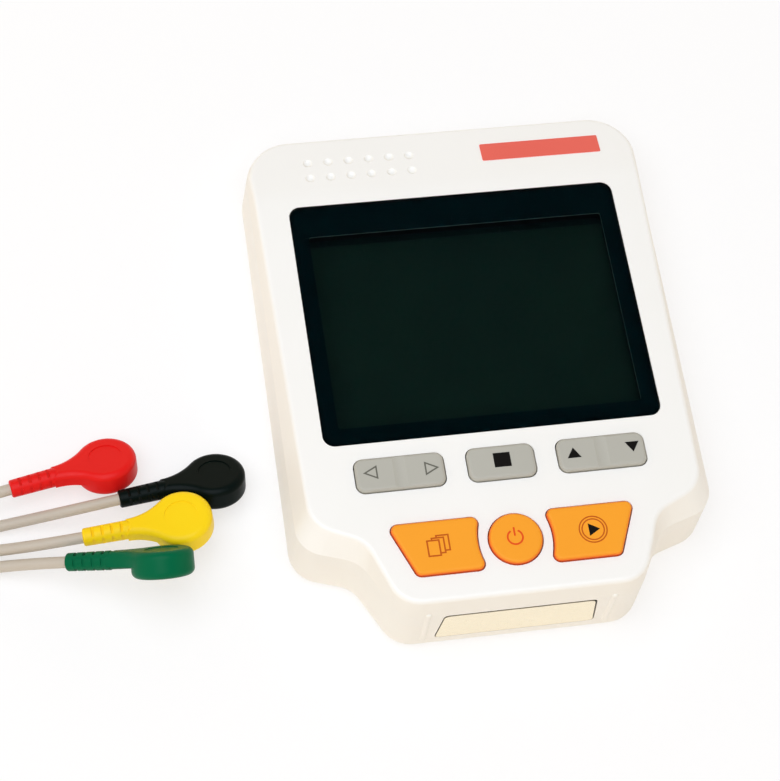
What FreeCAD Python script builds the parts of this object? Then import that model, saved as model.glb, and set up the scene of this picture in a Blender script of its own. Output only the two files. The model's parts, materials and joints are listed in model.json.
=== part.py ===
import FreeCAD, Part
import math
import os
from FreeCAD import Placement, Rotation, Vector

# A hand-held heart monitor for the home, lying on its back, with its set of four snap leads.
# The back is the plane z = 0, +Y runs to the top end and +X to the right of the display.
# All sizes are millimetres and degrees.

# ---------------------------------------------------------------- housing
BODY_LENGTH = 128.6
BODY_WIDTH = 99.4
TOP_CORNER_RADIUS = 12.0
HIP_Y = 19.8 - BODY_LENGTH / 2    # where the straight sides end and the waist begins
HIP_RADIUS = 8.0
WAIST_X = 36.0
WAIST_Y = HIP_Y - 4.4
WAIST_RADIUS = 7.0
GRIP_X = 28.0               # half width of the narrow end that the hand holds
GRIP_RADIUS = 8.0
WALL = 2.4
BACK_EDGE_RADIUS = 2.5
SHOULDER_HEIGHT = 17.4      # where the upright walls turn into the sloping flank, at y = 0
SHOULDER_TILT = 1.8
WALL_DRAFT = 0.8            # how far the upright walls lean in at the shoulder
PARTING_HEIGHT = 13.5       # joint between the front and the rear case
LIP_HEIGHT = 1.4
LIP_THICKNESS = 1.1
LIP_CLEARANCE = 0.1

# The face is a plane that falls towards the top end. Its own frame has x to the right,
# v up the face and d out of it, with the origin in the middle of the display window.
FACE_TILT = 3.1
FACE_HEIGHT = 22.0
FACE_Y = 10.9
FACE_EDGE_RADIUS = 1.2
FACE_TOP_X = 48.3
FACE_TOP_V = BODY_LENGTH / 2 - FACE_Y - 0.7
FACE_END_V = 2.3 - BODY_LENGTH / 2 - FACE_Y
FACE_HIP_X = 45.7
FACE_HIP_V = FACE_END_V + 21.9
FACE_WAIST_X = 34.0
FACE_WAIST_V = FACE_END_V + 16.3
FACE_GRIP_X = 28.4
BAND_START_V = 35.8         # above the display the face bends down into a band
BAND_ANGLE = 8.0
BAND_BEND_RADIUS = 24.0

# ---------------------------------------------------------------- display
LENS_WIDTH = 80.0
LENS_HEIGHT = 64.5
LENS_THICKNESS = 1.2
LENS_CORNER_RADIUS = 2.7
LENS_CLEARANCE = 0.15
MASK_THICKNESS = 0.3
APERTURE_WIDTH = 72.2
APERTURE_HEIGHT = 51.9
APERTURE_V = -1.85
APERTURE_RADIUS = 0.6
DISPLAY_OPENING_MARGIN = 0.9
LCD_WIDTH = 76.9
LCD_HEIGHT = 63.9
LCD_THICKNESS = 3.4
LCD_DEPTH = 5.0             # from the face to the glass of the display
LCD_V = -2.0
LCD_CORNER_RADIUS = 0.8
LCD_GLASS_WIDTH = 73.6
LCD_GLASS_HEIGHT = 53.4
LCD_GLASS_V = -3.4
LCD_RIM_STEP = 0.4

# ---------------------------------------------------------------- keys
KEY_RISE = 1.0              # how far the caps stand out of the face
KEY_CLEARANCE = 0.25
KEY_DEPTH = 4.2             # from the face to the underside of the caps
KEY_EDGE_RADIUS = 0.85
KEY_FLANGE_WIDTH = 0.8
KEY_FLANGE_THICKNESS = 0.8
KEY_FLANGE_GAP = 0.06
KEY_TRAVEL = 0.6
ROCKER_TILT = 2.5
ROCKER_LUG_HALF_LENGTH = 1.5
ROCKER_LUG_GAP = 0.1
NAV_KEY_V = -40.7           # the row of grey keys
NAV_KEY_HEIGHT = 8.3
NAV_KEY_RADIUS = 2.0
ROCKER_X = 23.7
ROCKER_WIDTH = 20.7
ROCKER_CREASE_DEPTH = 0.25
STOP_KEY_WIDTH = 15.8
POWER_KEY_V = FACE_END_V + 13.0         # the row of orange keys
POWER_KEY_RADIUS = 6.2
SIDE_KEY_TOP_V = POWER_KEY_V + 6.4
SIDE_KEY_BOTTOM_V = POWER_KEY_V - 6.6
SIDE_KEY_OUTER_TOP_X = 28.8
SIDE_KEY_OUTER_BOTTOM_X = 23.5
SIDE_KEY_INNER_X = 7.3
SIDE_KEY_HOLLOW = 1.4       # sagitta of the side that curves round the power key
SIDE_KEY_RADIUS = 1.6

# ---------------------------------------------------------------- board and key mat
BOARD_DEPTH = 8.4           # from the face to the top of the board
BOARD_THICKNESS = 1.2
BOARD_CORNER_RADIUS = 1.0
BOARD_END_RADIUS = 2.0
BOARD_HALF_WIDTH = 39.8
BOARD_TOP_V = 37.2
BOARD_HIP_V = FACE_HIP_V + 0.5
BOARD_WAIST_X = 32.0
BOARD_WAIST_V = FACE_WAIST_V + 0.6
BOARD_END_X = 24.0
BOARD_END_V = FACE_END_V + 2.6
BOARD_POSTS = [(-35.0, 34.6), (35.0, 34.6), (-37.9, -38.0), (37.9, -38.0), (0.0, BOARD_END_V + 1.4)]
# The parts under the board: middle x and v, width, length and height of each.
BOARD_PARTS = {
    "amplifier shield": (-18.0, 12.0, 24.0, 24.0, 2.4),
    "processor": (11.0, 11.0, 14.0, 14.0, 1.4),
    "memory": (29.0, 16.0, 10.0, 8.0, 1.2),
    "display connector": (-5.0, 30.0, 14.0, 6.0, 1.8),
    "voltage converter": (29.0, -5.0, 14.0, 6.0, 2.2),
}
MAT_HALF_WIDTH = 35.9
MAT_TOP_V = -34.6
MAT_HIP_V = BOARD_HIP_V + 0.2
MAT_WAIST_X = 30.8
MAT_WAIST_V = BOARD_WAIST_V + 1.4
MAT_END_X = 25.4
MAT_END_V = BOARD_END_V + 3.1
PAD_INSET = 1.6             # how far a pad stays inside the outline of its cap
ROCKER_PAD_X = 7.0          # from the middle of a rocker to each of its two pads
ROCKER_PAD_RADIUS = 3.0
SIDE_KEY_SWITCH_X = 17.5
MAT_THICKNESS = 1.2
MAT_CORNER_RADIUS = 0.8
MAT_END_RADIUS = 1.5
MAT_PAD_GAP = 0.1           # left between a cap and its pad when the cap is right down
DOME_RADIUS = 2.5
DOME_HEIGHT = 0.4
DOME_POCKET_GAP = 0.2
POST_RADIUS = 1.5
BOARD_SCREW_LENGTH = 4.0
BOARD_SCREW_RADIUS = 0.7
BOARD_SCREW_HEAD_RADIUS = 1.4
BOARD_SCREW_HEAD_HEIGHT = 1.0
SCREW_CLEARANCE = 0.1

# ---------------------------------------------------------------- speaker
DIMPLE_COLUMNS = 6
DIMPLE_ROWS = 2
DIMPLE_PITCH_X = 5.06
DIMPLE_PITCH_V = 4.8
DIMPLE_FIRST_X = -33.5
DIMPLE_FIRST_V = 40.8
DIMPLE_RADIUS = 1.2
DIMPLE_DEPTH = 0.5
SPEAKER_RADIUS = 5.7
SPEAKER_CLEARANCE = 0.15
SPEAKER_THICKNESS = 3.6
SPEAKER_MAGNET_SHARE = 0.62 # of the speaker's radius
SPEAKER_RIM = 1.0
SPEAKER_CONE_DEPTH = 0.5
SPEAKER_RING = 1.0
SPEAKER_RING_HEIGHT = 1.4

# ---------------------------------------------------------------- electrodes
ELECTRODE_TOP = 18.4        # heights up the end wall
ELECTRODE_BOTTOM = 5.0
ELECTRODE_TOP_HALF_WIDTH = 17.7
ELECTRODE_BOTTOM_HALF_WIDTH = 18.9
ELECTRODE_CORNER_RADIUS = 1.2
ELECTRODE_THICKNESS = 0.5
ELECTRODE_RECESS = 0.8      # from the wall to the face of the plate
ELECTRODE_CLEARANCE = 0.1
ELECTRODE_BACKING = 1.2
TAB_X = 11.0
TAB_WIDTH = 5.0
TAB_HEIGHT = 9.0
TAB_LENGTH = 3.4
RIB_X = 21.6
RIB_RADIUS = 0.9
RIB_RISE = 0.45
RIB_TOP = 19.6
RIB_BOTTOM = 4.6
CONTACT_THICKNESS = 0.3
FINGER_PLATE_WIDTH = 34.0
FINGER_PLATE_HEIGHT = 16.0
FINGER_PLATE_Y = BODY_LENGTH / 2 - 26.3
FINGER_PLATE_SINK = 0.25    # how far the plate lies under the back
FINGER_PLATE_RADIUS = 2.0
FINGER_RIVET_RADIUS = 1.0

# ---------------------------------------------------------------- lead socket
SOCKET_WIDTH = 7.8
SOCKET_HEIGHT = 3.8
SOCKET_DEPTH = 8.5
SOCKET_SINK = 0.3           # of its mouth, under the top wall
SOCKET_BACK = 2.0           # thickness of the plastic at the socket's end
TONGUE_MARGIN = 1.2         # from each side of the socket to its tongue
TONGUE_THICKNESS = 1.1
TONGUE_START = 1.0          # behind the mouth
SOCKET_BOARD_GAP = 1.0      # from the top wall to the socket's board
SOCKET_SHELL = 0.4
SOCKET_Z = 7.5
SOCKET_X = 20.0
SOCKET_BOARD_WIDTH = 18.0
SOCKET_BOARD_LENGTH = 10.0
SOCKET_BOARD_THICKNESS = 1.0
SOCKET_STAND_WIDTH = 1.5

# ---------------------------------------------------------------- batteries and their cover
CELL_RADIUS = 5.25
CELL_LENGTH = 43.5
CELL_NUB_RADIUS = 1.9
CELL_NUB_LENGTH = 1.0
CELL_EDGE_RADIUS = 0.4
CELL_GAP = 0.3
BAY_Y = -28.0
BAY_WALL = 1.4
BAY_ROOF = 0.8
SPRING_LENGTH = 5.6
SPRING_WIRE_RADIUS = 0.3
SPRING_TURNS = 4
SPRING_RADIUS = 3.2
CELL_CONTACT_SIZE = 8.6
CELL_CONTACT_THICKNESS = 0.4
COVER_MARGIN = 2.6          # how far the cover reaches past the bay on every side
COVER_THICKNESS = 1.4
COVER_SINK = 0.2
COVER_CLEARANCE = 0.25
COVER_RADIUS = 2.0
COVER_TAB_X = 15.0
COVER_TAB_WIDTH = 7.0
COVER_TAB_LENGTH = 1.5
COVER_TAB_THICKNESS = 0.7
COVER_GRIP_RADIUS = 6.0
COVER_GRIP_DEPTH = 0.7
COVER_TONGUE_SLIT = 0.8     # width of the slit on each side of the spring tongue

# ---------------------------------------------------------------- case screws
CASE_SCREW_X = 43.3
CASE_SCREW_TOP_Y = BODY_LENGTH / 2 - 14.8
CASE_SCREW_LOW_Y = HIP_Y + 8.5
CASE_BOSS_RADIUS = 3.2
CASE_SCREW_RADIUS = 1.1
SCREW_CROSS_REACH = 0.6     # arm of the cross recess, as a share of the head's radius
SCREW_CROSS_HALF_WIDTH = 0.13
CASE_SCREW_HEAD_RADIUS = 2.0
CASE_SCREW_HEAD_HEIGHT = 1.4
CASE_SCREW_SEAT = 6.0       # height of the head's seat over the back
CASE_SCREW_LENGTH = 9.6
CASE_COUNTERBORE_GAP = 0.3

# ---------------------------------------------------------------- snap leads
LEAD_DIAMETER = 2.7
BEND_SHARE = 0.45           # of the shorter run beside a corner, which its bend takes up
CLIP_HEAD_RADIUS = 7.2
CLIP_REACH = 23.0           # from the end of the sleeve to the middle of the head
CLIP_TOP = 2.15             # heights over the lead's axis
CLIP_NECK_BOTTOM = -1.3
CLIP_HEAD_BOTTOM = -4.15
CLIP_NECK_HALF_WIDTH = 2.3
CLIP_NECK_CURVE = 12.0      # radius of the hollow between the neck and the head
CLIP_EDGE_RADIUS = 1.6
CLIP_SLEEVE_LENGTH = 10.6
CLIP_SLEEVE_TIP_RADIUS = 2.1
CLIP_SLEEVE_ROOT_RADIUS = 2.25
CLIP_SLEEVE_RIM = 0.5
CLIP_SLOTS = 4
CLIP_SLOT_START = 2.4
CLIP_SLOT_PITCH = 2.25
CLIP_SLOT_WIDTH = 0.65
CLIP_SLOT_HALF_LENGTH = 1.5
CLIP_SLOT_DEPTH = 0.65        # on the top and the underside
CLIP_NOTCH_DEPTH = 0.3      # on the two flanks
CLIP_SPINE_RADIUS = 2.1     # of the round core under the neck
CLIP_PAD_RADIUS = 3.9
CLIP_PAD_DEPTH = 0.2
SNAP_RADIUS = 3.6
SNAP_HEIGHT = 3.0
SNAP_BORE_RADIUS = 1.9
SNAP_BORE_DEPTH = 2.5
YOKE_ENTRY_X = -182.0
YOKE_Y = -29.0
YOKE_LENGTH = 20.0
YOKE_HEIGHT = 6.0
YOKE_FRONT_WIDTH = 15.0
YOKE_BACK_WIDTH = 8.0
YOKE_CORNER_RADIUS = 2.0
YOKE_EDGE_RADIUS = 1.2
SLEEVE_LENGTH = 14.0        # the tapered sleeve where the trunk leaves the yoke or the plug
SLEEVE_ROOT_RADIUS = 2.9
SLEEVE_TIP_RADIUS = 2.5
LEAD_PITCH = 3.3
TRUNK_DIAMETER = 4.2
COIL_X = -246.0
COIL_Y = -5.3
COIL_RADIUS = 23.1          # to the middle of the turns
COIL_HALF_WIDTH = 4.2
COIL_HEIGHT = 7.8
COIL_BASE = 0.4
COIL_EDGE_RADIUS = 2.0
TIE_WIDTH = 7.0
TIE_THICKNESS = 0.4
PLUG_LENGTH = 22.0
PLUG_WIDTH = 11.0
PLUG_HEIGHT = 7.0
PLUG_CORNER_RADIUS = 2.5
PLUG_EDGE_RADIUS = 1.2
PLUG_SHELL_LENGTH = 7.0
PLUG_SHELL_GAP = 0.15
PLUG_SHELL_THICKNESS = 0.4
PLUG_TONGUE_GAP = 0.1
PLUG_SLOT_START = 1.0       # of the slot for the tongue, from the end by the plug's body
PLUG_PIN_LENGTH = 5.5

# Each clip: where its lead leaves the sleeve, and how it lies, as yaw, pitch and roll.
CLIPS = {
    "red_clip": (Vector(-112.15, -17.40, 7.4), (11.6, 2.5, -25.3)),
    "black_clip": (Vector(-87.48, -22.65, 7.5), (8.1, 2.4, -26.2)),
    "yellow_clip": (Vector(-96.57, -31.63, 8.75), (2.6, -5.2, -14.8)),
    "green_clip": (Vector(-100.67, -37.42, 9.3), (-10.9, -19.3, -61.3)),
}
# The rest of each lead's way over the table, from its clip to the yoke.
LEAD_ROUTES = {
    "red": [(-120.5, -19.1, 7.6), (-131.5, -20.6, 4.6), (-143.5, -21.5, 1.8), (-156.0, -23.1, 1.5),
            (-169.0, -24.6, 2.2)],
    "black": [(-96.0, -23.9, 7.7), (-107.0, -24.1, 4.5), (-118.5, -24.6, 2.0), (-130.5, -25.6, 1.5),
              (-142.5, -26.5, 1.5), (-155.0, -26.8, 1.7), (-168.5, -27.6, 2.4)],
    "yellow": [(-104.8, -32.0, 8.0), (-115.5, -31.2, 4.7), (-127.0, -30.2, 1.9), (-138.5, -29.8, 1.5),
               (-152.0, -30.5, 1.6), (-167.0, -30.7, 2.4)],
    "green": [(-108.5, -35.9, 6.5), (-119.5, -34.5, 2.9), (-134.0, -34.4, 1.5), (-150.5, -34.0, 1.6),
              (-167.0, -34.3, 2.4)],
}
TRUNK_ROUTE = [(-216.0, -29.0, 3.0), (-226.0, -29.6, 2.5), (-236.0, -30.5, 2.5)]
TAIL_ROUTE = [(-232.0, 17.8, 5.4), (-223.0, 17.4, 3.8), (-213.5, 18.2, 2.9), (-204.0, 18.6, 3.5)]
PLUG_ENTRY = Vector(*TAIL_ROUTE[-1])

LONG = 200.0                # longer than anything in the assembly
SPARE = 1.0                 # how far a cutting tool reaches past what it cuts, and a root into its body
BITE = 0.1                  # how far two shapes reach into each other before they are fused
NEAR = 0.01                 # heights this close count as the same
LEAST_BEND = 0.3            # the smallest radius of a corner that is moved inwards
LEVEL = 0.97                # upward part of a face's normal, over which the face counts as level
SLOPING = 0.9               # and under which it counts as a side


# ---------------------------------------------------------------- outlines
def both_sides(half):
    """Close a half outline, given from the top end down the right side, with its mirror image."""
    return half + [(-x, y, radius) for x, y, radius in reversed(half)]


BASE_CORNERS = both_sides([
    (BODY_WIDTH / 2, BODY_LENGTH / 2, TOP_CORNER_RADIUS),
    (BODY_WIDTH / 2, HIP_Y, HIP_RADIUS),
    (WAIST_X, WAIST_Y, WAIST_RADIUS),
    (GRIP_X, RIB_RISE - BODY_LENGTH / 2, GRIP_RADIUS),
])
FACE_CORNERS = both_sides([
    (FACE_TOP_X, FACE_TOP_V, TOP_CORNER_RADIUS),
    (FACE_HIP_X, FACE_HIP_V, HIP_RADIUS),
    (FACE_WAIST_X, FACE_WAIST_V, WAIST_RADIUS),
    (FACE_GRIP_X, FACE_END_V, GRIP_RADIUS),
])
END_WALL_Y = RIB_RISE - BODY_LENGTH / 2


def unit(start, end):
    length = math.hypot(end[0] - start[0], end[1] - start[1])
    return (end[0] - start[0]) / length, (end[1] - start[1]) / length


def rounded_outline(corners, inset=0.0, height=0.0):
    """A clockwise outline with rounded corners, its sides moved in by the inset."""
    count = len(corners)
    arcs = []
    for index, (x, y, radius) in enumerate(corners):
        ahead = unit((x, y), corners[(index + 1) % count])
        behind = unit(corners[index - 1], (x, y))
        inward = (behind[1] + ahead[1], -behind[0] - ahead[0])
        share = inset / (1 + behind[0] * ahead[0] + behind[1] * ahead[1])
        turn = behind[0] * ahead[1] - behind[1] * ahead[0]
        bend = max(radius - inset, LEAST_BEND) if turn < 0 else radius + inset
        half_turn = math.acos(max(-1, min(1, behind[0] * ahead[0] + behind[1] * ahead[1]))) / 2
        reach = bend * math.tan(half_turn)
        corner = Vector(x + inward[0] * share, y + inward[1] * share, height)
        start = corner - Vector(behind[0], behind[1], 0) * reach
        end = corner + Vector(ahead[0], ahead[1], 0) * reach
        inside = Vector(ahead[0] - behind[0], ahead[1] - behind[1], 0).normalize()
        middle = corner + inside * (bend / math.cos(half_turn) - bend)
        arcs.append((start, middle, end))
    edges = []
    for index, (start, middle, end) in enumerate(arcs):
        edges.append(Part.Arc(start, middle, end).toShape())
        edges.append(Part.LineSegment(end, arcs[(index + 1) % count][0]).toShape())
    return Part.Wire(edges)


def rectangle(width, height, radius, x=0.0, y=0.0, level=0.0):
    right, left = x + width / 2, x - width / 2
    top, bottom = y + height / 2, y - height / 2
    corners = [(right, top, radius), (right, bottom, radius), (left, bottom, radius), (left, top, radius)]
    return rounded_outline(corners, 0.0, level)


def prism(wire, low, high):
    """Extrude a flat outline drawn at level 0 between two levels."""
    solid = Part.Face(wire).extrude(Vector(0, 0, high - low))
    solid.translate(Vector(0, 0, low))
    return solid


def block(x, y, z):
    """A box from three pairs of limits."""
    return Part.makeBox(x[1] - x[0], y[1] - y[0], z[1] - z[0], Vector(x[0], y[0], z[0]))


def cylinder(radius, low, high, x=0.0, y=0.0):
    return Part.makeCylinder(radius, high - low, Vector(x, y, low))


# ---------------------------------------------------------------- frames
FACE_FRAME = Placement(Vector(0, FACE_Y, FACE_HEIGHT), Rotation(Vector(1, 0, 0), -FACE_TILT))
BAND_FRAME = FACE_FRAME.multiply(
    Placement(Vector(0, BAND_START_V, 0), Rotation(Vector(1, 0, 0), -BAND_ANGLE)))
WALL_LEAN = math.degrees(math.atan(WALL_DRAFT / SHOULDER_HEIGHT))
SHOULDER_FRAME = Placement(Vector(0, 0, SHOULDER_HEIGHT), Rotation(Vector(1, 0, 0), -SHOULDER_TILT))
END_FRAME = Placement(Vector(0, END_WALL_Y, 0), Rotation(Vector(1, 0, 0), 90 - WALL_LEAN))


def placed(shape, frame):
    moved = shape.copy()
    moved.Placement = frame.multiply(moved.Placement)
    return moved


def on_face(shape):
    return placed(shape, FACE_FRAME)


def on_band(shape):
    """The band's frame has x to the right, y up the band from its bend, and z out of it."""
    return placed(shape, BAND_FRAME)


def on_end_wall(shape):
    """The end wall's frame has x to the right, y up the wall, and z outwards."""
    return placed(shape, END_FRAME)


# ---------------------------------------------------------------- housing
def band_tool(inset):
    """Everything over the band, which leaves the face in a soft bend."""
    half_turn = math.radians(BAND_ANGLE) / 2
    reach = BAND_BEND_RADIUS * math.tan(half_turn)
    sag = BAND_BEND_RADIUS * (1 / math.cos(half_turn) - 1)
    slope = math.radians(BAND_ANGLE)
    bend = Vector(0, BAND_START_V - inset * math.tan(half_turn), -inset)
    start = bend + Vector(0, -reach, 0)
    middle = bend + Vector(0, -math.sin(half_turn), -math.cos(half_turn)) * sag
    end = bend + Vector(0, math.cos(slope), -math.sin(slope)) * reach
    far = bend + Vector(0, math.cos(slope), -math.sin(slope)) * LONG
    over_far = Vector(0, far.y, LONG)
    over_start = Vector(0, start.y, LONG)
    edges = [Part.Arc(start, middle, end).toShape()]
    corners = [end, far, over_far, over_start, start]
    for first, second in zip(corners, corners[1:]):
        edges.append(Part.LineSegment(first, second).toShape())
    profile = Part.Face(Part.Wire(edges))
    profile.translate(Vector(-LONG / 2, 0, 0))
    return on_face(profile.extrude(Vector(LONG, 0, 0)))


def envelope(inset=0.0):
    """The outer form of the closed housing, or that form moved in by the inset."""
    back = rounded_outline(BASE_CORNERS, inset, inset)
    shoulder = placed(rounded_outline(BASE_CORNERS, inset + WALL_DRAFT, -inset), SHOULDER_FRAME)
    face = on_face(rounded_outline(FACE_CORNERS, inset, -inset))
    walls = Part.makeLoft([back, shoulder], True, True)
    flank = Part.makeLoft([shoulder, face], True, True)
    return walls.fuse(flank).removeSplitter().cut(band_tool(inset))


def edges_between(shape, first, second):
    """Edges where a face that passes one test meets a face that passes the other."""
    found = []
    for edge in shape.Edges:
        sides = shape.ancestorsOfType(edge, Part.Face)
        if len(sides) != 2:
            continue
        a, b = sides
        if (first(a) and second(b)) or (first(b) and second(a)):
            found.append(edge)
    return found


def lean_of(face):
    """The upward part of a face's normal in its middle, 1 on a level top and 0 on an upright wall."""
    u_first, u_last, v_first, v_last = face.ParameterRange
    return face.normalAt((u_first + u_last) / 2, (v_first + v_last) / 2).z


def is_top(face):
    return lean_of(face) > LEVEL


def is_side(face):
    return abs(lean_of(face)) < SLOPING


def is_back(face):
    return lean_of(face) < -LEVEL


def housing():
    """The closed housing with its rounded edges."""
    body = envelope()
    body = body.makeFillet(BACK_EDGE_RADIUS, edges_between(body, is_back, is_side))
    return body.makeFillet(FACE_EDGE_RADIUS, edges_between(body, is_top, is_side))




# ---------------------------------------------------------------- keys
def side_key_outline(side):
    """An orange key beside the power key: a slanted outer side and a hollow inner one."""
    top, bottom = SIDE_KEY_TOP_V, SIDE_KEY_BOTTOM_V
    outer_top = Vector(side * SIDE_KEY_OUTER_TOP_X, top, 0)
    outer_bottom = Vector(side * SIDE_KEY_OUTER_BOTTOM_X, bottom, 0)
    inner_bottom = Vector(side * SIDE_KEY_INNER_X, bottom, 0)
    inner_top = Vector(side * SIDE_KEY_INNER_X, top, 0)
    hollow = Vector(side * (SIDE_KEY_INNER_X + SIDE_KEY_HOLLOW), (top + bottom) / 2, 0)
    wire = Part.Wire([
        Part.LineSegment(outer_top, outer_bottom).toShape(),
        Part.LineSegment(outer_bottom, inner_bottom).toShape(),
        Part.Arc(inner_bottom, hollow, inner_top).toShape(),
        Part.LineSegment(inner_top, outer_top).toShape(),
    ])
    slab = Part.Face(wire).extrude(Vector(0, 0, SPARE))
    upright = [edge for edge in slab.Edges if edge.BoundBox.ZLength > SPARE / 2]
    slab = slab.makeFillet(SIDE_KEY_RADIUS, upright)
    underside = min(slab.Faces, key=lambda face: face.CenterOfMass.z)
    return underside.OuterWire


def grey_key_outline(x, width):
    return rectangle(width, NAV_KEY_HEIGHT, NAV_KEY_RADIUS, x, NAV_KEY_V)


def power_key_outline():
    return Part.Wire(Part.makeCircle(POWER_KEY_RADIUS, Vector(0, POWER_KEY_V, 0)))


KEY_OUTLINES = {
    "left_right_key": grey_key_outline(-ROCKER_X, ROCKER_WIDTH),
    "stop_key": grey_key_outline(0.0, STOP_KEY_WIDTH),
    "up_down_key": grey_key_outline(ROCKER_X, ROCKER_WIDTH),
    "pages_key": side_key_outline(-1),
    "power_key": power_key_outline(),
    "play_key": side_key_outline(1),
}
ROCKERS = {"left_right_key": -ROCKER_X, "up_down_key": ROCKER_X}


def key_cap(outline):
    cap = prism(outline, -KEY_DEPTH, KEY_RISE)
    crown = max(cap.Faces, key=lambda face: face.CenterOfMass.z)
    return cap.makeFillet(KEY_EDGE_RADIUS, crown.Edges)


def push_key(name):
    """A cap with a flange all round that holds it under the front case."""
    outline = KEY_OUTLINES[name]
    top = -WALL - KEY_FLANGE_GAP
    flange = prism(outline.makeOffset2D(KEY_FLANGE_WIDTH), top - KEY_FLANGE_THICKNESS, top)
    return on_face(key_cap(outline).fuse(flange).removeSplitter())


def rocker_key(name):
    """A double cap that tilts about its middle, where two lugs hold it under the case."""
    x = ROCKERS[name]
    top = -WALL - ROCKER_LUG_GAP
    reach = NAV_KEY_HEIGHT / 2 + KEY_FLANGE_WIDTH
    lugs = block((x - ROCKER_LUG_HALF_LENGTH, x + ROCKER_LUG_HALF_LENGTH),
                 (NAV_KEY_V - reach, NAV_KEY_V + reach),
                 (top - KEY_FLANGE_THICKNESS, top))
    crease_radius = (ROCKER_LUG_HALF_LENGTH ** 2 + ROCKER_CREASE_DEPTH ** 2) / (2 * ROCKER_CREASE_DEPTH)
    crease = Part.makeCylinder(crease_radius, LONG, Vector(x, NAV_KEY_V - LONG / 2, 0), Vector(0, 1, 0))
    crease.translate(Vector(0, 0, KEY_RISE + crease_radius - ROCKER_CREASE_DEPTH))
    return on_face(key_cap(KEY_OUTLINES[name]).fuse(lugs).removeSplitter().cut(crease))


# ---------------------------------------------------------------- openings in the front case
def lens_outline(shrink=0.0):
    return rectangle(LENS_WIDTH - 2 * shrink, LENS_HEIGHT - 2 * shrink, LENS_CORNER_RADIUS - shrink)


def aperture_outline(margin=0.0):
    return rectangle(APERTURE_WIDTH + 2 * margin, APERTURE_HEIGHT + 2 * margin,
                     APERTURE_RADIUS + margin, 0, APERTURE_V)


def window_cut():
    """The seat of the lens with the opening over the display."""
    seat = prism(lens_outline(-LENS_CLEARANCE), -LENS_THICKNESS - MASK_THICKNESS, FACE_HEIGHT)
    return on_face(seat.fuse(prism(aperture_outline(DISPLAY_OPENING_MARGIN), -LCD_DEPTH, FACE_HEIGHT)))


def key_openings():
    holes = [prism(outline.makeOffset2D(KEY_CLEARANCE), -LCD_DEPTH, FACE_HEIGHT)
             for outline in KEY_OUTLINES.values()]
    return on_face(Part.makeCompound(holes))


def dimples():
    """Two rows of shallow hollows over the speaker."""
    ball = (DIMPLE_RADIUS ** 2 + DIMPLE_DEPTH ** 2) / (2 * DIMPLE_DEPTH)
    balls = []
    for row in range(DIMPLE_ROWS):
        for column in range(DIMPLE_COLUMNS):
            x = DIMPLE_FIRST_X + column * DIMPLE_PITCH_X
            up = (DIMPLE_FIRST_V - BAND_START_V) + row * DIMPLE_PITCH_V
            balls.append(Part.makeSphere(ball, Vector(x, up, ball - DIMPLE_DEPTH)))
    return on_band(Part.makeCompound(balls))


# ---------------------------------------------------------------- end wall
def electrode_outline():
    top, bottom = ELECTRODE_TOP_HALF_WIDTH, ELECTRODE_BOTTOM_HALF_WIDTH
    radius = ELECTRODE_CORNER_RADIUS
    return rounded_outline([(top, ELECTRODE_TOP, radius), (bottom, ELECTRODE_BOTTOM, radius),
                            (-bottom, ELECTRODE_BOTTOM, radius), (-top, ELECTRODE_TOP, radius)])


ELECTRODE_BACK = -ELECTRODE_RECESS - ELECTRODE_THICKNESS


def electrode_tab_blocks(margin=0.0, low=ELECTRODE_BACK - TAB_LENGTH, high=ELECTRODE_BACK + BITE):
    half_width = TAB_WIDTH / 2 + margin
    half_height = ELECTRODE_THICKNESS / 2 + margin
    return [block((x - half_width, x + half_width), (TAB_HEIGHT - half_height, TAB_HEIGHT + half_height),
                  (low, high)) for x in (-TAB_X, TAB_X)]


def electrode_seat():
    """The pocket of the end plate with the slots for its tabs."""
    seat = prism(electrode_outline().makeOffset2D(ELECTRODE_CLEARANCE), ELECTRODE_BACK, WALL)
    return on_end_wall(seat.multiFuse(electrode_tab_blocks(ELECTRODE_CLEARANCE)))


def electrode_backing():
    """A thicker stretch of the end wall behind the pocket."""
    half_width = ELECTRODE_BOTTOM_HALF_WIDTH + WALL
    pad = block((-half_width, half_width), (ELECTRODE_BOTTOM - WALL, ELECTRODE_TOP + WALL),
                (ELECTRODE_BACK - ELECTRODE_BACKING, ELECTRODE_BACK))
    return on_end_wall(pad)


def end_ribs():
    """Two upright half-round ribs beside the end plate."""
    ribs = []
    for x in (-RIB_X, RIB_X):
        centre = RIB_RISE - RIB_RADIUS
        bar = Part.makeCylinder(RIB_RADIUS, RIB_TOP - RIB_BOTTOM, Vector(x, RIB_BOTTOM, centre),
                                Vector(0, 1, 0))
        for end in (RIB_BOTTOM, RIB_TOP):
            bar = bar.fuse(Part.makeSphere(RIB_RADIUS, Vector(x, end, centre)))
        ribs.append(bar.removeSplitter())
    return on_end_wall(Part.makeCompound(ribs))


def end_electrode():
    plate = prism(electrode_outline(), ELECTRODE_BACK, -ELECTRODE_RECESS)
    return on_end_wall(plate.multiFuse(electrode_tab_blocks()).removeSplitter())


def face_point(x, v, depth=0.0):
    return FACE_FRAME.multVec(Vector(x, v, -depth))


BOARD_BACK = BOARD_DEPTH + BOARD_THICKNESS


def electrode_springs():
    """Leaf contacts that join the tabs of the end plate to the board."""
    tab_end = END_FRAME.multVec(Vector(0, TAB_HEIGHT, ELECTRODE_BACK - TAB_LENGTH))
    front = tab_end.y - CONTACT_THICKNESS
    top = min(face_point(0, front - FACE_Y, BOARD_BACK).z, face_point(0, tab_end.y - FACE_Y, BOARD_BACK).z)
    half_width = TAB_WIDTH / 2 - ELECTRODE_CLEARANCE
    low = tab_end.z + ELECTRODE_THICKNESS / 2 + SCREW_CLEARANCE
    leaves = [block((x - half_width, x + half_width), (front, tab_end.y), (low, top - SCREW_CLEARANCE))
              for x in (-TAB_X, TAB_X)]
    return Part.makeCompound(leaves)


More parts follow.
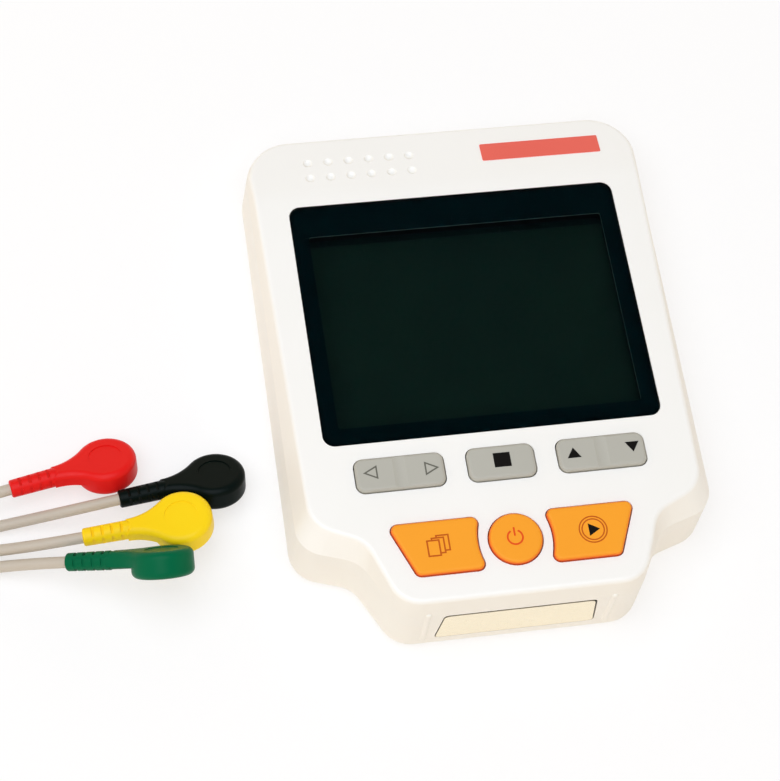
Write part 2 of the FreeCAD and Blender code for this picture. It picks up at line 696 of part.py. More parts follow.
# ---------------------------------------------------------------- batteries
BAY_HALF_LENGTH = (CELL_LENGTH + CELL_NUB_LENGTH + SPRING_LENGTH) / 2 + CELL_CONTACT_THICKNESS
BAY_HALF_WIDTH = 2 * CELL_RADIUS + 1.5 * CELL_GAP
CELL_Z = COVER_SINK + COVER_THICKNESS + CELL_GAP + CELL_RADIUS
BAY_TOP = CELL_Z + CELL_RADIUS + CELL_GAP
CELL_OFFSET = CELL_RADIUS + CELL_GAP / 2
CONTACT_FACE_X = BAY_HALF_LENGTH - CELL_CONTACT_THICKNESS
COVER_HALF_LENGTH = BAY_HALF_LENGTH + COVER_MARGIN
COVER_HALF_WIDTH = BAY_HALF_WIDTH + COVER_MARGIN
COVER_HINGE_Y = BAY_Y + COVER_HALF_WIDTH
COVER_LATCH_Y = BAY_Y - COVER_HALF_WIDTH


def cover_outline(margin=0.0):
    return rectangle(2 * (COVER_HALF_LENGTH + margin), 2 * (COVER_HALF_WIDTH + margin),
                     COVER_RADIUS + margin, 0, BAY_Y)


def bay_walls():
    outside = block((-BAY_HALF_LENGTH - BAY_WALL, BAY_HALF_LENGTH + BAY_WALL),
                    (BAY_Y - BAY_HALF_WIDTH - BAY_WALL, BAY_Y + BAY_HALF_WIDTH + BAY_WALL),
                    (WALL / 2, BAY_TOP + BAY_ROOF))
    return outside


def bay_cut():
    """The battery bay, the opening for its cover and the pockets for the cover's tabs."""
    bay = block((-BAY_HALF_LENGTH, BAY_HALF_LENGTH),
                (BAY_Y - BAY_HALF_WIDTH, BAY_Y + BAY_HALF_WIDTH), (-WALL, BAY_TOP))
    opening = prism(cover_outline(COVER_CLEARANCE), -WALL, COVER_SINK + COVER_THICKNESS + LIP_CLEARANCE)
    pockets = []
    for x in (-COVER_TAB_X, COVER_TAB_X):
        half_width = COVER_TAB_WIDTH / 2 + COVER_CLEARANCE
        low = COVER_SINK + COVER_THICKNESS - COVER_TAB_THICKNESS - LIP_CLEARANCE
        pockets.append(block((x - half_width, x + half_width),
                             (COVER_HINGE_Y - SPARE, COVER_HINGE_Y + COVER_TAB_LENGTH + COVER_CLEARANCE),
                             (low, WALL + SPARE)))
    return bay.fuse(opening).multiFuse(pockets)


def battery_cover():
    """The cover with its two tabs, a spring tongue at the latch end and a hollow for the thumb."""
    top = COVER_SINK + COVER_THICKNESS
    plate = prism(cover_outline(), COVER_SINK, top)
    tabs = []
    for x in (-COVER_TAB_X, COVER_TAB_X):
        tabs.append(block((x - COVER_TAB_WIDTH / 2, x + COVER_TAB_WIDTH / 2),
                          (COVER_HINGE_Y - SPARE, COVER_HINGE_Y + COVER_TAB_LENGTH),
                          (top - COVER_TAB_THICKNESS, top)))
    cuts = []
    for x in (-COVER_GRIP_RADIUS, COVER_GRIP_RADIUS):
        cuts.append(block((x - COVER_TONGUE_SLIT / 2, x + COVER_TONGUE_SLIT / 2),
                          (COVER_LATCH_Y - SPARE, COVER_LATCH_Y + COVER_GRIP_RADIUS), (-SPARE, top + SPARE)))
    ball = (COVER_GRIP_RADIUS ** 2 / 2 + COVER_GRIP_DEPTH ** 2) / (2 * COVER_GRIP_DEPTH)
    cuts.append(Part.makeSphere(ball, Vector(0, COVER_LATCH_Y + COVER_GRIP_RADIUS,
                                             COVER_SINK + COVER_GRIP_DEPTH - ball)))
    return plate.multiFuse(tabs).removeSplitter().cut(cuts)


def batteries():
    """Two AAA cells side by side, the second one the other way round."""
    cells = []
    for side in (-1, 1):
        y = BAY_Y + side * CELL_OFFSET
        nub_tip = Vector(side * CONTACT_FACE_X, y, CELL_Z)
        inwards = Vector(-side, 0, 0)
        nub = Part.makeCylinder(CELL_NUB_RADIUS, CELL_NUB_LENGTH + BITE, nub_tip, inwards)
        can = Part.makeCylinder(CELL_RADIUS, CELL_LENGTH, nub_tip + inwards * CELL_NUB_LENGTH, inwards)
        rims = [edge for edge in can.Edges if isinstance(edge.Curve, Part.Circle)]
        can = can.makeFillet(CELL_EDGE_RADIUS, rims)
        cells.append(can.fuse(nub).removeSplitter())
    return Part.makeCompound(cells)


def battery_springs():
    """A coil spring behind the flat end of each cell."""
    springs = []
    height = SPRING_LENGTH - 2 * SPRING_WIRE_RADIUS
    for side in (-1, 1):
        helix = Part.makeHelix(height / SPRING_TURNS, height, SPRING_RADIUS)
        profile = Part.Wire(Part.makeCircle(SPRING_WIRE_RADIUS, Vector(SPRING_RADIUS, 0, 0), Vector(0, 1, 0)))
        spring = Part.Wire(helix).makePipeShell([profile], True, True)
        spring.rotate(Vector(0, 0, 0), Vector(0, 1, 0), 90)
        start = -CONTACT_FACE_X if side > 0 else CONTACT_FACE_X - SPRING_LENGTH
        spring.translate(Vector(start + SPRING_WIRE_RADIUS, BAY_Y + side * CELL_OFFSET, CELL_Z))
        springs.append(spring)
    return Part.makeCompound(springs)


def battery_contacts():
    """One plate that joins the cells and two single plates at the other end."""
    half = CELL_CONTACT_SIZE / 2
    levels = (CELL_Z - half, CELL_Z + half)
    bridge = block((-BAY_HALF_LENGTH, -CONTACT_FACE_X),
                   (BAY_Y - CELL_OFFSET - half, BAY_Y + CELL_OFFSET + half), levels)
    singles = [block((CONTACT_FACE_X, BAY_HALF_LENGTH), (y - half, y + half), levels)
               for y in (BAY_Y - CELL_OFFSET, BAY_Y + CELL_OFFSET)]
    return Part.makeCompound([bridge] + singles)


# ---------------------------------------------------------------- fasteners
def screw(radius, length, head_radius, head_height):
    """A pan-head screw that points up from the seat of its head, with a cross recess."""
    head = cylinder(head_radius, -head_height, 0)
    rim = min(head.Faces, key=lambda face: face.CenterOfMass.z)
    head = head.makeFillet(head_height / 3, rim.Edges)
    shank = cylinder(radius, -head_height / 2, length)
    tip = max(shank.Faces, key=lambda face: face.CenterOfMass.z)
    shank = shank.makeChamfer(radius / 2, tip.Edges)
    arm, half = head_radius * SCREW_CROSS_REACH, head_radius * SCREW_CROSS_HALF_WIDTH
    cross = [block((-arm, arm), (-half, half), (-head_height, -head_height / 2)),
             block((-half, half), (-arm, arm), (-head_height, -head_height / 2))]
    return head.fuse(shank).removeSplitter().cut(cross)


CASE_SCREW_PLACES = [(side * CASE_SCREW_X, y) for side in (-1, 1)
                     for y in (CASE_SCREW_TOP_Y, CASE_SCREW_LOW_Y)]


def case_screws():
    screws = []
    for x, y in CASE_SCREW_PLACES:
        one = screw(CASE_SCREW_RADIUS, CASE_SCREW_LENGTH, CASE_SCREW_HEAD_RADIUS, CASE_SCREW_HEAD_HEIGHT)
        one.translate(Vector(x, y, CASE_SCREW_SEAT))
        screws.append(one)
    return Part.makeCompound(screws)


def board_screws():
    screws = []
    for x, v in BOARD_POSTS:
        one = screw(BOARD_SCREW_RADIUS, BOARD_SCREW_LENGTH, BOARD_SCREW_HEAD_RADIUS, BOARD_SCREW_HEAD_HEIGHT)
        one.translate(Vector(x, v, -BOARD_BACK))
        screws.append(on_face(one))
    return Part.makeCompound(screws)


# ---------------------------------------------------------------- cases
def lip(inset):
    """A ring along the parting line, from the given inset to the inside of the wall."""
    slab = block((-LONG, LONG), (-LONG, LONG), (PARTING_HEIGHT - SPARE, PARTING_HEIGHT + LIP_HEIGHT))
    return envelope(inset).cut(envelope(WALL + LIP_CLEARANCE)).common(slab)


def half_space(low, high):
    return block((-LONG, LONG), (-LONG, LONG), (low, high))


def speaker_ring(body):
    bore = SPEAKER_RADIUS + SPEAKER_CLEARANCE
    ring = speaker_cylinder(bore + SPEAKER_RING, -WALL - SPEAKER_RING_HEIGHT, -WALL / 2)
    hole = speaker_cylinder(bore, -WALL - SPEAKER_RING_HEIGHT, -WALL)
    return ring.cut(hole).common(body)


def front_case(body, inside):
    upper = body.cut(inside).common(half_space(PARTING_HEIGHT, LONG))
    upper = upper.fuse(end_ribs().common(half_space(PARTING_HEIGHT, LONG)))
    bosses = [cylinder(CASE_BOSS_RADIUS, PARTING_HEIGHT, FACE_HEIGHT, x, y).common(body)
              for x, y in CASE_SCREW_PLACES]
    posts = [on_face(cylinder(POST_RADIUS, -BOARD_DEPTH, -WALL / 2, x, v)) for x, v in BOARD_POSTS]
    backing = electrode_backing().common(body).common(half_space(PARTING_HEIGHT, LONG))
    upper = upper.multiFuse(bosses + posts + [backing, speaker_ring(body)]).removeSplitter()
    groove_slab = half_space(PARTING_HEIGHT, PARTING_HEIGHT + LIP_HEIGHT + LIP_CLEARANCE)
    groove = envelope(WALL - LIP_THICKNESS - LIP_CLEARANCE).cut(inside).common(groove_slab)
    shank_holes = [cylinder(CASE_SCREW_RADIUS, 0, CASE_SCREW_SEAT + CASE_SCREW_LENGTH + SCREW_CLEARANCE, x, y)
                   for x, y in CASE_SCREW_PLACES]
    pilot_top = BOARD_SCREW_LENGTH - BOARD_BACK + SCREW_CLEARANCE
    shank_holes += [on_face(cylinder(BOARD_SCREW_RADIUS, -BOARD_DEPTH - SPARE, pilot_top, x, v))
                    for x, v in BOARD_POSTS]
    return upper.cut([window_cut(), key_openings(), dimples(), electrode_seat(), groove] + shank_holes)


def rear_case(body, inside):
    lower = body.cut(inside).common(half_space(-SPARE, PARTING_HEIGHT))
    lower = lower.fuse(end_ribs().common(half_space(-SPARE, PARTING_HEIGHT)))
    bosses = [cylinder(CASE_BOSS_RADIUS, WALL / 2, PARTING_HEIGHT, x, y).common(body)
              for x, y in CASE_SCREW_PLACES]
    tongue = lip(WALL - LIP_THICKNESS).cut(front_bosses())
    backing = electrode_backing().common(body).common(half_space(0, PARTING_HEIGHT))
    stands = socket_stands()
    lower = lower.multiFuse(bosses + stands + [bay_walls(), backing, tongue]).removeSplitter()
    cuts = [bay_cut(), electrode_seat(), finger_plate_seat(), socket_opening()]
    for x, y in CASE_SCREW_PLACES:
        cuts.append(cylinder(CASE_SCREW_RADIUS + SCREW_CLEARANCE, 0, PARTING_HEIGHT + SPARE, x, y))
        cuts.append(cylinder(CASE_SCREW_HEAD_RADIUS + CASE_COUNTERBORE_GAP, -1, CASE_SCREW_SEAT, x, y))
    return lower.cut(cuts)


def front_bosses():
    """The room that the front case's bosses and backing take in the tongue of the rear case."""
    rooms = [cylinder(CASE_BOSS_RADIUS + LIP_CLEARANCE, PARTING_HEIGHT, FACE_HEIGHT, x, y)
             for x, y in CASE_SCREW_PLACES]
    pad = electrode_backing().common(half_space(PARTING_HEIGHT, LONG))
    return Part.makeCompound(rooms + [pad])


# ---------------------------------------------------------------- display, board and mat
def display_lens():
    return on_face(prism(lens_outline(), -LENS_THICKNESS, 0))


def lens_mask():
    """The black printed and adhesive frame under the lens."""
    frame = prism(lens_outline(LENS_CLEARANCE), -LENS_THICKNESS - MASK_THICKNESS, -LENS_THICKNESS)
    return on_face(frame.cut(prism(aperture_outline(), -LCD_DEPTH, 0)))


def lcd_outline(width=LCD_WIDTH, height=LCD_HEIGHT, v=LCD_V):
    return rectangle(width, height, LCD_CORNER_RADIUS, 0, v)


def display_gasket():
    """The foam frame between the front case and the display."""
    frame = prism(lcd_outline(), -LCD_DEPTH, -WALL)
    return on_face(frame.cut(prism(aperture_outline(DISPLAY_OPENING_MARGIN), -LCD_DEPTH, 0)))


def lcd_glass_seat():
    return prism(lcd_outline(LCD_GLASS_WIDTH, LCD_GLASS_HEIGHT, LCD_GLASS_V), -LCD_DEPTH - LCD_RIM_STEP * 2, 0)


def lcd_frame():
    return on_face(prism(lcd_outline(), -LCD_DEPTH - LCD_THICKNESS, -LCD_DEPTH).cut(lcd_glass_seat()))


def lcd_glass():
    glass = prism(lcd_outline(LCD_GLASS_WIDTH, LCD_GLASS_HEIGHT, LCD_GLASS_V),
                  -LCD_DEPTH - LCD_RIM_STEP * 2, -LCD_DEPTH - LCD_RIM_STEP / 2)
    return on_face(glass)


def main_board():
    outline = rounded_outline(both_sides([
        (BOARD_HALF_WIDTH, BOARD_TOP_V, BOARD_CORNER_RADIUS),
        (BOARD_HALF_WIDTH, BOARD_HIP_V, BOARD_CORNER_RADIUS),
        (BOARD_WAIST_X, BOARD_WAIST_V, BOARD_CORNER_RADIUS),
        (BOARD_END_X, BOARD_END_V, BOARD_END_RADIUS)]))
    radius = BOARD_SCREW_RADIUS + SCREW_CLEARANCE
    holes = [cylinder(radius, -BOARD_BACK - SPARE, 0, x, v) for x, v in BOARD_POSTS]
    return on_face(prism(outline, -BOARD_BACK, -BOARD_DEPTH).cut(holes))


def board_parts():
    """The shielded amplifier, the processor and the connectors under the board."""
    parts = [block((x - width / 2, x + width / 2), (v - length / 2, v + length / 2),
                   (-BOARD_BACK - height, -BOARD_BACK)) for x, v, width, length, height in BOARD_PARTS.values()]
    return on_face(Part.makeCompound(parts))


def switch_places():
    places = [(x + side * ROCKER_PAD_X, NAV_KEY_V) for x in (-ROCKER_X, ROCKER_X) for side in (-1, 1)]
    places += [(0, NAV_KEY_V), (0, POWER_KEY_V)]
    return places + [(-SIDE_KEY_SWITCH_X, POWER_KEY_V), (SIDE_KEY_SWITCH_X, POWER_KEY_V)]


def dome_switches():
    """Snap domes on the board, one under each place that a finger can press."""
    ball = (DOME_RADIUS ** 2 + DOME_HEIGHT ** 2) / (2 * DOME_HEIGHT)
    domes = []
    for x, v in switch_places():
        cap = Part.makeSphere(ball, Vector(x, v, DOME_HEIGHT - ball - BOARD_DEPTH))
        domes.append(on_face(cap.common(block((x - ball, x + ball), (v - ball, v + ball),
                                              (-BOARD_DEPTH, DOME_HEIGHT)))))
    return Part.makeCompound(domes)


def key_mat():
    """The rubber mat on the board, with a pad under each cap and a pocket over each dome."""
    outline = rounded_outline(both_sides([
        (MAT_HALF_WIDTH, MAT_TOP_V, MAT_CORNER_RADIUS), (MAT_HALF_WIDTH, MAT_HIP_V, MAT_CORNER_RADIUS),
        (MAT_WAIST_X, MAT_WAIST_V, MAT_CORNER_RADIUS), (MAT_END_X, MAT_END_V, MAT_END_RADIUS)]))
    base = -BOARD_DEPTH + MAT_THICKNESS
    top = -KEY_DEPTH - KEY_TRAVEL - MAT_PAD_GAP
    pads = []
    for name, cap in KEY_OUTLINES.items():
        if name in ROCKERS:
            pads += [cylinder(ROCKER_PAD_RADIUS, base - BITE, top,
                              ROCKERS[name] + side * ROCKER_PAD_X, NAV_KEY_V)
                     for side in (-1, 1)]
        else:
            pads.append(prism(cap.makeOffset2D(-PAD_INSET), base - BITE, top))
    sheet = prism(outline, -BOARD_DEPTH, base).multiFuse(pads).removeSplitter()
    pockets = [cylinder(DOME_RADIUS + DOME_POCKET_GAP, -BOARD_DEPTH - SPARE,
                        -BOARD_DEPTH + DOME_HEIGHT + DOME_POCKET_GAP, x, v) for x, v in switch_places()]
    return on_face(sheet.cut(pockets))


# ---------------------------------------------------------------- speaker
SPEAKER_X = DIMPLE_FIRST_X + (DIMPLE_COLUMNS - 1) / 2 * DIMPLE_PITCH_X
SPEAKER_UP = DIMPLE_FIRST_V - BAND_START_V + (DIMPLE_ROWS - 1) / 2 * DIMPLE_PITCH_V


def speaker_cylinder(radius, low, high):
    return on_band(cylinder(radius, low, high, SPEAKER_X, SPEAKER_UP))


def speaker():
    """A small loudspeaker: its basket against the case and its magnet below."""
    middle = -WALL - SPEAKER_THICKNESS / 2
    basket = speaker_cylinder(SPEAKER_RADIUS, middle, -WALL)
    magnet = speaker_cylinder(SPEAKER_RADIUS * SPEAKER_MAGNET_SHARE, -WALL - SPEAKER_THICKNESS, middle + BITE)
    cone = speaker_cylinder(SPEAKER_RADIUS - SPEAKER_RIM, -WALL - SPEAKER_CONE_DEPTH, -WALL + BITE)
    return basket.fuse(magnet).removeSplitter().cut(cone)


# ---------------------------------------------------------------- back plate and lead socket
def finger_plate_outline(margin=0.0):
    return rectangle(FINGER_PLATE_WIDTH + 2 * margin, FINGER_PLATE_HEIGHT + 2 * margin,
                     FINGER_PLATE_RADIUS + margin, 0, FINGER_PLATE_Y)


FINGER_RIVETS = [(side * FINGER_PLATE_WIDTH / 3, FINGER_PLATE_Y) for side in (-1, 1)]


def finger_electrode():
    """The second electrode, let into the back where the other hand's finger lies."""
    plate = prism(finger_plate_outline(), FINGER_PLATE_SINK, FINGER_PLATE_SINK + ELECTRODE_THICKNESS)
    rivets = [cylinder(FINGER_RIVET_RADIUS, FINGER_PLATE_SINK, WALL + SPARE, x, y) for x, y in FINGER_RIVETS]
    return plate.multiFuse(rivets).removeSplitter()


def finger_plate_seat():
    seat = prism(finger_plate_outline(ELECTRODE_CLEARANCE), -1, FINGER_PLATE_SINK + ELECTRODE_THICKNESS)
    radius = FINGER_RIVET_RADIUS + ELECTRODE_CLEARANCE
    return seat.multiFuse([cylinder(radius, 0, WALL + SPARE, x, y) for x, y in FINGER_RIVETS])


TOP_WALL_Y = BODY_LENGTH / 2 - WALL_DRAFT * SOCKET_Z / SHOULDER_HEIGHT
SOCKET_MOUTH_Y = TOP_WALL_Y - SOCKET_SINK
TONGUE_WIDTH = SOCKET_WIDTH - 2 * TONGUE_MARGIN


def socket_block(width, height, start, end):
    """A box on the socket's axis between two depths behind its mouth."""
    return block((SOCKET_X - width / 2, SOCKET_X + width / 2), (SOCKET_MOUTH_Y - end, SOCKET_MOUTH_Y - start),
                 (SOCKET_Z - height / 2, SOCKET_Z + height / 2))


def lead_socket():
    """The metal shell of the socket for the lead set."""
    outside = socket_block(SOCKET_WIDTH + 2 * SOCKET_SHELL, SOCKET_HEIGHT + 2 * SOCKET_SHELL, 0, SOCKET_DEPTH)
    return outside.cut(socket_block(SOCKET_WIDTH, SOCKET_HEIGHT, -SPARE, SOCKET_DEPTH + SPARE))


def socket_insert():
    """The plastic back of the socket with the tongue that carries the contacts."""
    back = socket_block(SOCKET_WIDTH, SOCKET_HEIGHT, SOCKET_DEPTH - SOCKET_BACK, SOCKET_DEPTH)
    tongue = socket_block(TONGUE_WIDTH, TONGUE_THICKNESS, TONGUE_START, SOCKET_DEPTH - SOCKET_BACK / 2)
    return back.fuse(tongue).removeSplitter()


def socket_opening():
    gap = 2 * (SOCKET_SHELL + ELECTRODE_CLEARANCE)
    return socket_block(SOCKET_WIDTH + gap, SOCKET_HEIGHT + gap, -2, 2 * WALL)


SOCKET_BOARD_TOP = SOCKET_Z - SOCKET_HEIGHT / 2 - SOCKET_SHELL
SOCKET_BOARD_END = SOCKET_MOUTH_Y - WALL - SOCKET_BOARD_GAP
SOCKET_BOARD_Y = (SOCKET_BOARD_END - SOCKET_BOARD_LENGTH, SOCKET_BOARD_END)


def socket_board():
    return block((SOCKET_X - SOCKET_BOARD_WIDTH / 2, SOCKET_X + SOCKET_BOARD_WIDTH / 2), SOCKET_BOARD_Y,
                 (SOCKET_BOARD_TOP - SOCKET_BOARD_THICKNESS, SOCKET_BOARD_TOP))


def socket_stands():
    """Two ribs of the rear case under the socket's board."""
    stands = []
    for side in (-1, 1):
        edge = SOCKET_X + side * SOCKET_BOARD_WIDTH / 2
        x = sorted((edge, edge - side * SOCKET_STAND_WIDTH))
        stands.append(block(x, SOCKET_BOARD_Y, (WALL - BITE, SOCKET_BOARD_TOP - SOCKET_BOARD_THICKNESS)))
    return stands


# ---------------------------------------------------------------- snap clips
def clip_frame(name):
    place, (yaw, pitch, roll) = CLIPS[name]
    return Placement(place, Rotation(yaw, pitch, roll))


def mirrored(point):
    return Vector(point.x, -point.y, point.z)


def clip_plan():
    """The clip from above: a hollow-sided neck that runs into the round head."""
    rise = CLIP_NECK_HALF_WIDTH + CLIP_NECK_CURVE
    reach = CLIP_NECK_CURVE + CLIP_HEAD_RADIUS
    curve = Vector(CLIP_REACH - math.sqrt(reach ** 2 - rise ** 2), rise, 0)
    head = Vector(CLIP_REACH, 0, 0)
    meet = head + (curve - head).normalize() * CLIP_HEAD_RADIUS
    start = Vector(curve.x, CLIP_NECK_HALF_WIDTH, 0)
    halfway = ((start - curve).normalize() + (meet - curve).normalize()).normalize()
    middle = curve + halfway * CLIP_NECK_CURVE
    crown = head + Vector(CLIP_HEAD_RADIUS, 0, 0)
    return Part.Wire([
        Part.Arc(start, middle, meet).toShape(),
        Part.Arc(meet, crown, mirrored(meet)).toShape(),
        Part.Arc(mirrored(meet), mirrored(middle), mirrored(start)).toShape(),
        Part.LineSegment(mirrored(start), start).toShape(),
    ])


def clip_slots():
    """Deep slots over and under the sleeve and shallow notches on its flanks, which let it bend."""
    cuts = []
    for index in range(CLIP_SLOTS):
        start = CLIP_SLOT_START + index * CLIP_SLOT_PITCH
        share = start / CLIP_SLEEVE_LENGTH
        radius = CLIP_SLEEVE_TIP_RADIUS + (CLIP_SLEEVE_ROOT_RADIUS - CLIP_SLEEVE_TIP_RADIUS) * share
        for depth, first_turn in ((CLIP_SLOT_DEPTH, 0), (CLIP_NOTCH_DEPTH, 90)):
            slot = block((start - CLIP_SLOT_WIDTH / 2, start + CLIP_SLOT_WIDTH / 2),
                         (-CLIP_SLOT_HALF_LENGTH, CLIP_SLOT_HALF_LENGTH), (radius - depth, radius + SPARE))
            for turn in (first_turn, first_turn + 180):
                side = slot.copy()
                side.rotate(Vector(0, 0, 0), Vector(1, 0, 0), turn)
                cuts.append(side)
    return cuts


def snap_clip(name):
    """A moulded snap clip: round slotted sleeve, flat neck on a round spine, thick head over the socket."""
    body = prism(clip_plan(), CLIP_NECK_BOTTOM, CLIP_TOP)
    head = cylinder(CLIP_HEAD_RADIUS, CLIP_HEAD_BOTTOM, CLIP_NECK_BOTTOM + BITE, CLIP_REACH)
    body = body.fuse(head).removeSplitter()
    top = max(body.Faces, key=lambda face: face.CenterOfMass.z)
    bottom = min(body.Faces, key=lambda face: face.CenterOfMass.z)
    body = body.makeFillet(CLIP_EDGE_RADIUS, list(top.OuterWire.Edges) + list(bottom.OuterWire.Edges))
    sleeve = Part.makeCone(CLIP_SLEEVE_TIP_RADIUS, CLIP_SLEEVE_ROOT_RADIUS, CLIP_SLEEVE_LENGTH,
                           Vector(0, 0, 0), Vector(1, 0, 0))
    rim = min(sleeve.Faces, key=lambda face: face.CenterOfMass.x)
    sleeve = sleeve.makeFillet(CLIP_SLEEVE_RIM, rim.Edges)
    spine = Part.makeCylinder(CLIP_SPINE_RADIUS, CLIP_REACH - CLIP_SLEEVE_LENGTH / 2,
                              Vector(CLIP_SLEEVE_LENGTH / 2, 0, 0), Vector(1, 0, 0))
    body = body.multiFuse([sleeve, spine]).removeSplitter()
    pad = cylinder(CLIP_PAD_RADIUS, CLIP_TOP - CLIP_PAD_DEPTH, CLIP_TOP + SPARE, CLIP_REACH)
    bore = cylinder(SNAP_RADIUS, CLIP_HEAD_BOTTOM - SPARE, CLIP_HEAD_BOTTOM + SNAP_HEIGHT, CLIP_REACH)
    return placed(body.cut(clip_slots() + [pad, bore]), clip_frame(name))


def snap_sockets():
    """The metal cup in the underside of each clip, which snaps on an electrode's stud."""
    cups = []
    for name in CLIPS:
        cup = cylinder(SNAP_RADIUS, CLIP_HEAD_BOTTOM, CLIP_HEAD_BOTTOM + SNAP_HEIGHT, CLIP_REACH)
        bore = cylinder(SNAP_BORE_RADIUS, CLIP_HEAD_BOTTOM - SPARE,
                        CLIP_HEAD_BOTTOM + SNAP_BORE_DEPTH, CLIP_REACH)
        cups.append(placed(cup.cut(bore), clip_frame(name)))
    return Part.makeCompound(cups)


# ---------------------------------------------------------------- cords
def cord_tube(name, points, diameter):
    """A tube along straight runs joined by tangent arcs, each as large as its two runs allow."""
    points = [Vector(*point) for point in points]
    edges = []
    radii = []
    last = points[0]
    for before, corner, after in zip(points, points[1:], points[2:]):
        back = (before - corner).normalize()
        ahead = (after - corner).normalize()
        half_turn = (math.pi - back.getAngle(ahead)) / 2
        shorter = min((before - corner).Length, (after - corner).Length)
        radius = BEND_SHARE * shorter / math.tan(half_turn)
        radii.append(round(radius, 1))
        start = corner + back * BEND_SHARE * shorter
        end = corner + ahead * BEND_SHARE * shorter
        inside = (back + ahead).normalize()
        middle = corner + inside * (radius / math.cos(half_turn) - radius)
        edges.append(Part.LineSegment(last, start).toShape())
        edges.append(Part.Arc(start, middle, end).toShape())
        last = end
    edges.append(Part.LineSegment(last, points[-1]).toShape())
    path = Part.Wire(edges)
    heading = (points[1] - points[0]).normalize()
    section = Part.Wire(Part.makeCircle(diameter / 2, points[0], heading))
    tube = path.makePipeShell([section], True, False)
    expected = math.pi * diameter ** 2 / 4 * path.Length
    print(name, "radii", radii, "length", round(path.Length, 1), "volume", round(tube.Volume / expected, 4))
    return tube


def lead(colour, index):
    """One lead from the sleeve of its clip to the front of the yoke."""
    place, _ = CLIPS[colour + "_clip"]
    entry = (YOKE_ENTRY_X, YOKE_Y + ((len(CLIPS) - 1) / 2 - index) * LEAD_PITCH, YOKE_HEIGHT / 2)
    return cord_tube(colour + "_lead", [tuple(place)] + LEAD_ROUTES[colour] + [entry], LEAD_DIAMETER)


def softened(solid, radius):
    """Round the level edges of a moulded block."""
    level = [edge for edge in solid.Edges if edge.BoundBox.ZLength < NEAR]
    return solid.makeFillet(radius, level)


def lead_yoke():
    """The moulding that joins the four leads to the trunk, with its tapered sleeve."""
    back_x = YOKE_ENTRY_X - YOKE_LENGTH
    front, back = YOKE_FRONT_WIDTH / 2, YOKE_BACK_WIDTH / 2
    radius = YOKE_CORNER_RADIUS
    outline = rounded_outline([(YOKE_ENTRY_X, YOKE_Y + front, radius), (YOKE_ENTRY_X, YOKE_Y - front, radius),
                               (back_x, YOKE_Y - back, radius), (back_x, YOKE_Y + back, radius)])
    moulding = softened(prism(outline, 0, YOKE_HEIGHT), YOKE_EDGE_RADIUS)
    sleeve = Part.makeCone(SLEEVE_ROOT_RADIUS, SLEEVE_TIP_RADIUS, SLEEVE_LENGTH + SPARE,
                           Vector(back_x + SPARE, YOKE_Y, YOKE_HEIGHT / 2), Vector(-1, 0, 0))
    return moulding.fuse(sleeve).removeSplitter()


def trunk_coil():
    """The outer form of the turns of the trunk that are put away."""
    low, high = COIL_RADIUS - COIL_HALF_WIDTH, COIL_RADIUS + COIL_HALF_WIDTH
    top = COIL_BASE + COIL_HEIGHT
    ring = cylinder(high, COIL_BASE, top).cut(cylinder(low, 0, top + SPARE))
    rims = [edge for edge in ring.Edges if isinstance(edge.Curve, Part.Circle)]
    ring = ring.makeFillet(COIL_EDGE_RADIUS, rims)
    ring.translate(Vector(COIL_X, COIL_Y, 0))
    return ring


def coil_tie():
    """The band that holds the turns together, closed round them on the far side."""
    low, high = COIL_RADIUS - COIL_HALF_WIDTH, COIL_RADIUS + COIL_HALF_WIDTH
    bore = (low, high)
    outer = (low - TIE_THICKNESS, high + TIE_THICKNESS)
    y = (-TIE_WIDTH / 2, TIE_WIDTH / 2)
    top = COIL_BASE + COIL_HEIGHT
    band = block(outer, y, (COIL_BASE - TIE_THICKNESS, top + TIE_THICKNESS))
    band = band.cut(cylinder(high, COIL_BASE, top).cut(cylinder(low, 0, LONG)))
    band.translate(Vector(COIL_X, COIL_Y, 0))
    band.rotate(Vector(COIL_X, COIL_Y, 0), Vector(0, 0, 1), 180)
    return band


PLUG_BODY_X = PLUG_ENTRY.x + SLEEVE_LENGTH


def plug_body():
    """The moulded grip of the plug with its tapered sleeve."""
    outline = rectangle(PLUG_LENGTH, PLUG_WIDTH, PLUG_CORNER_RADIUS, PLUG_BODY_X + PLUG_LENGTH / 2, PLUG_ENTRY.y)
    grip = softened(prism(outline, 0, PLUG_HEIGHT), PLUG_EDGE_RADIUS)
    sleeve = Part.makeCone(SLEEVE_TIP_RADIUS, SLEEVE_ROOT_RADIUS, SLEEVE_LENGTH + SPARE,
                           PLUG_ENTRY, Vector(1, 0, 0))
    return grip.fuse(sleeve).removeSplitter()


def plug_block(width, height, start, end):
    nose = PLUG_BODY_X + PLUG_LENGTH
    return block((nose + start, nose + end), (PLUG_ENTRY.y - width / 2, PLUG_ENTRY.y + width / 2),
                 (PLUG_ENTRY.z - height / 2, PLUG_ENTRY.z + height / 2))


PLUG_NOSE_WIDTH = SOCKET_WIDTH - 2 * PLUG_SHELL_GAP
PLUG_NOSE_HEIGHT = SOCKET_HEIGHT - 2 * PLUG_SHELL_GAP
PLUG_HOLLOW_WIDTH = PLUG_NOSE_WIDTH - 2 * PLUG_SHELL_THICKNESS
PLUG_HOLLOW_HEIGHT = PLUG_NOSE_HEIGHT - 2 * PLUG_SHELL_THICKNESS


def plug_shell():
    """The metal nose of the plug, which fits the socket in the top end of the housing."""
    nose = plug_block(PLUG_NOSE_WIDTH, PLUG_NOSE_HEIGHT, 0, PLUG_SHELL_LENGTH)
    return nose.cut(plug_block(PLUG_HOLLOW_WIDTH, PLUG_HOLLOW_HEIGHT, -SPARE, PLUG_SHELL_LENGTH + SPARE))


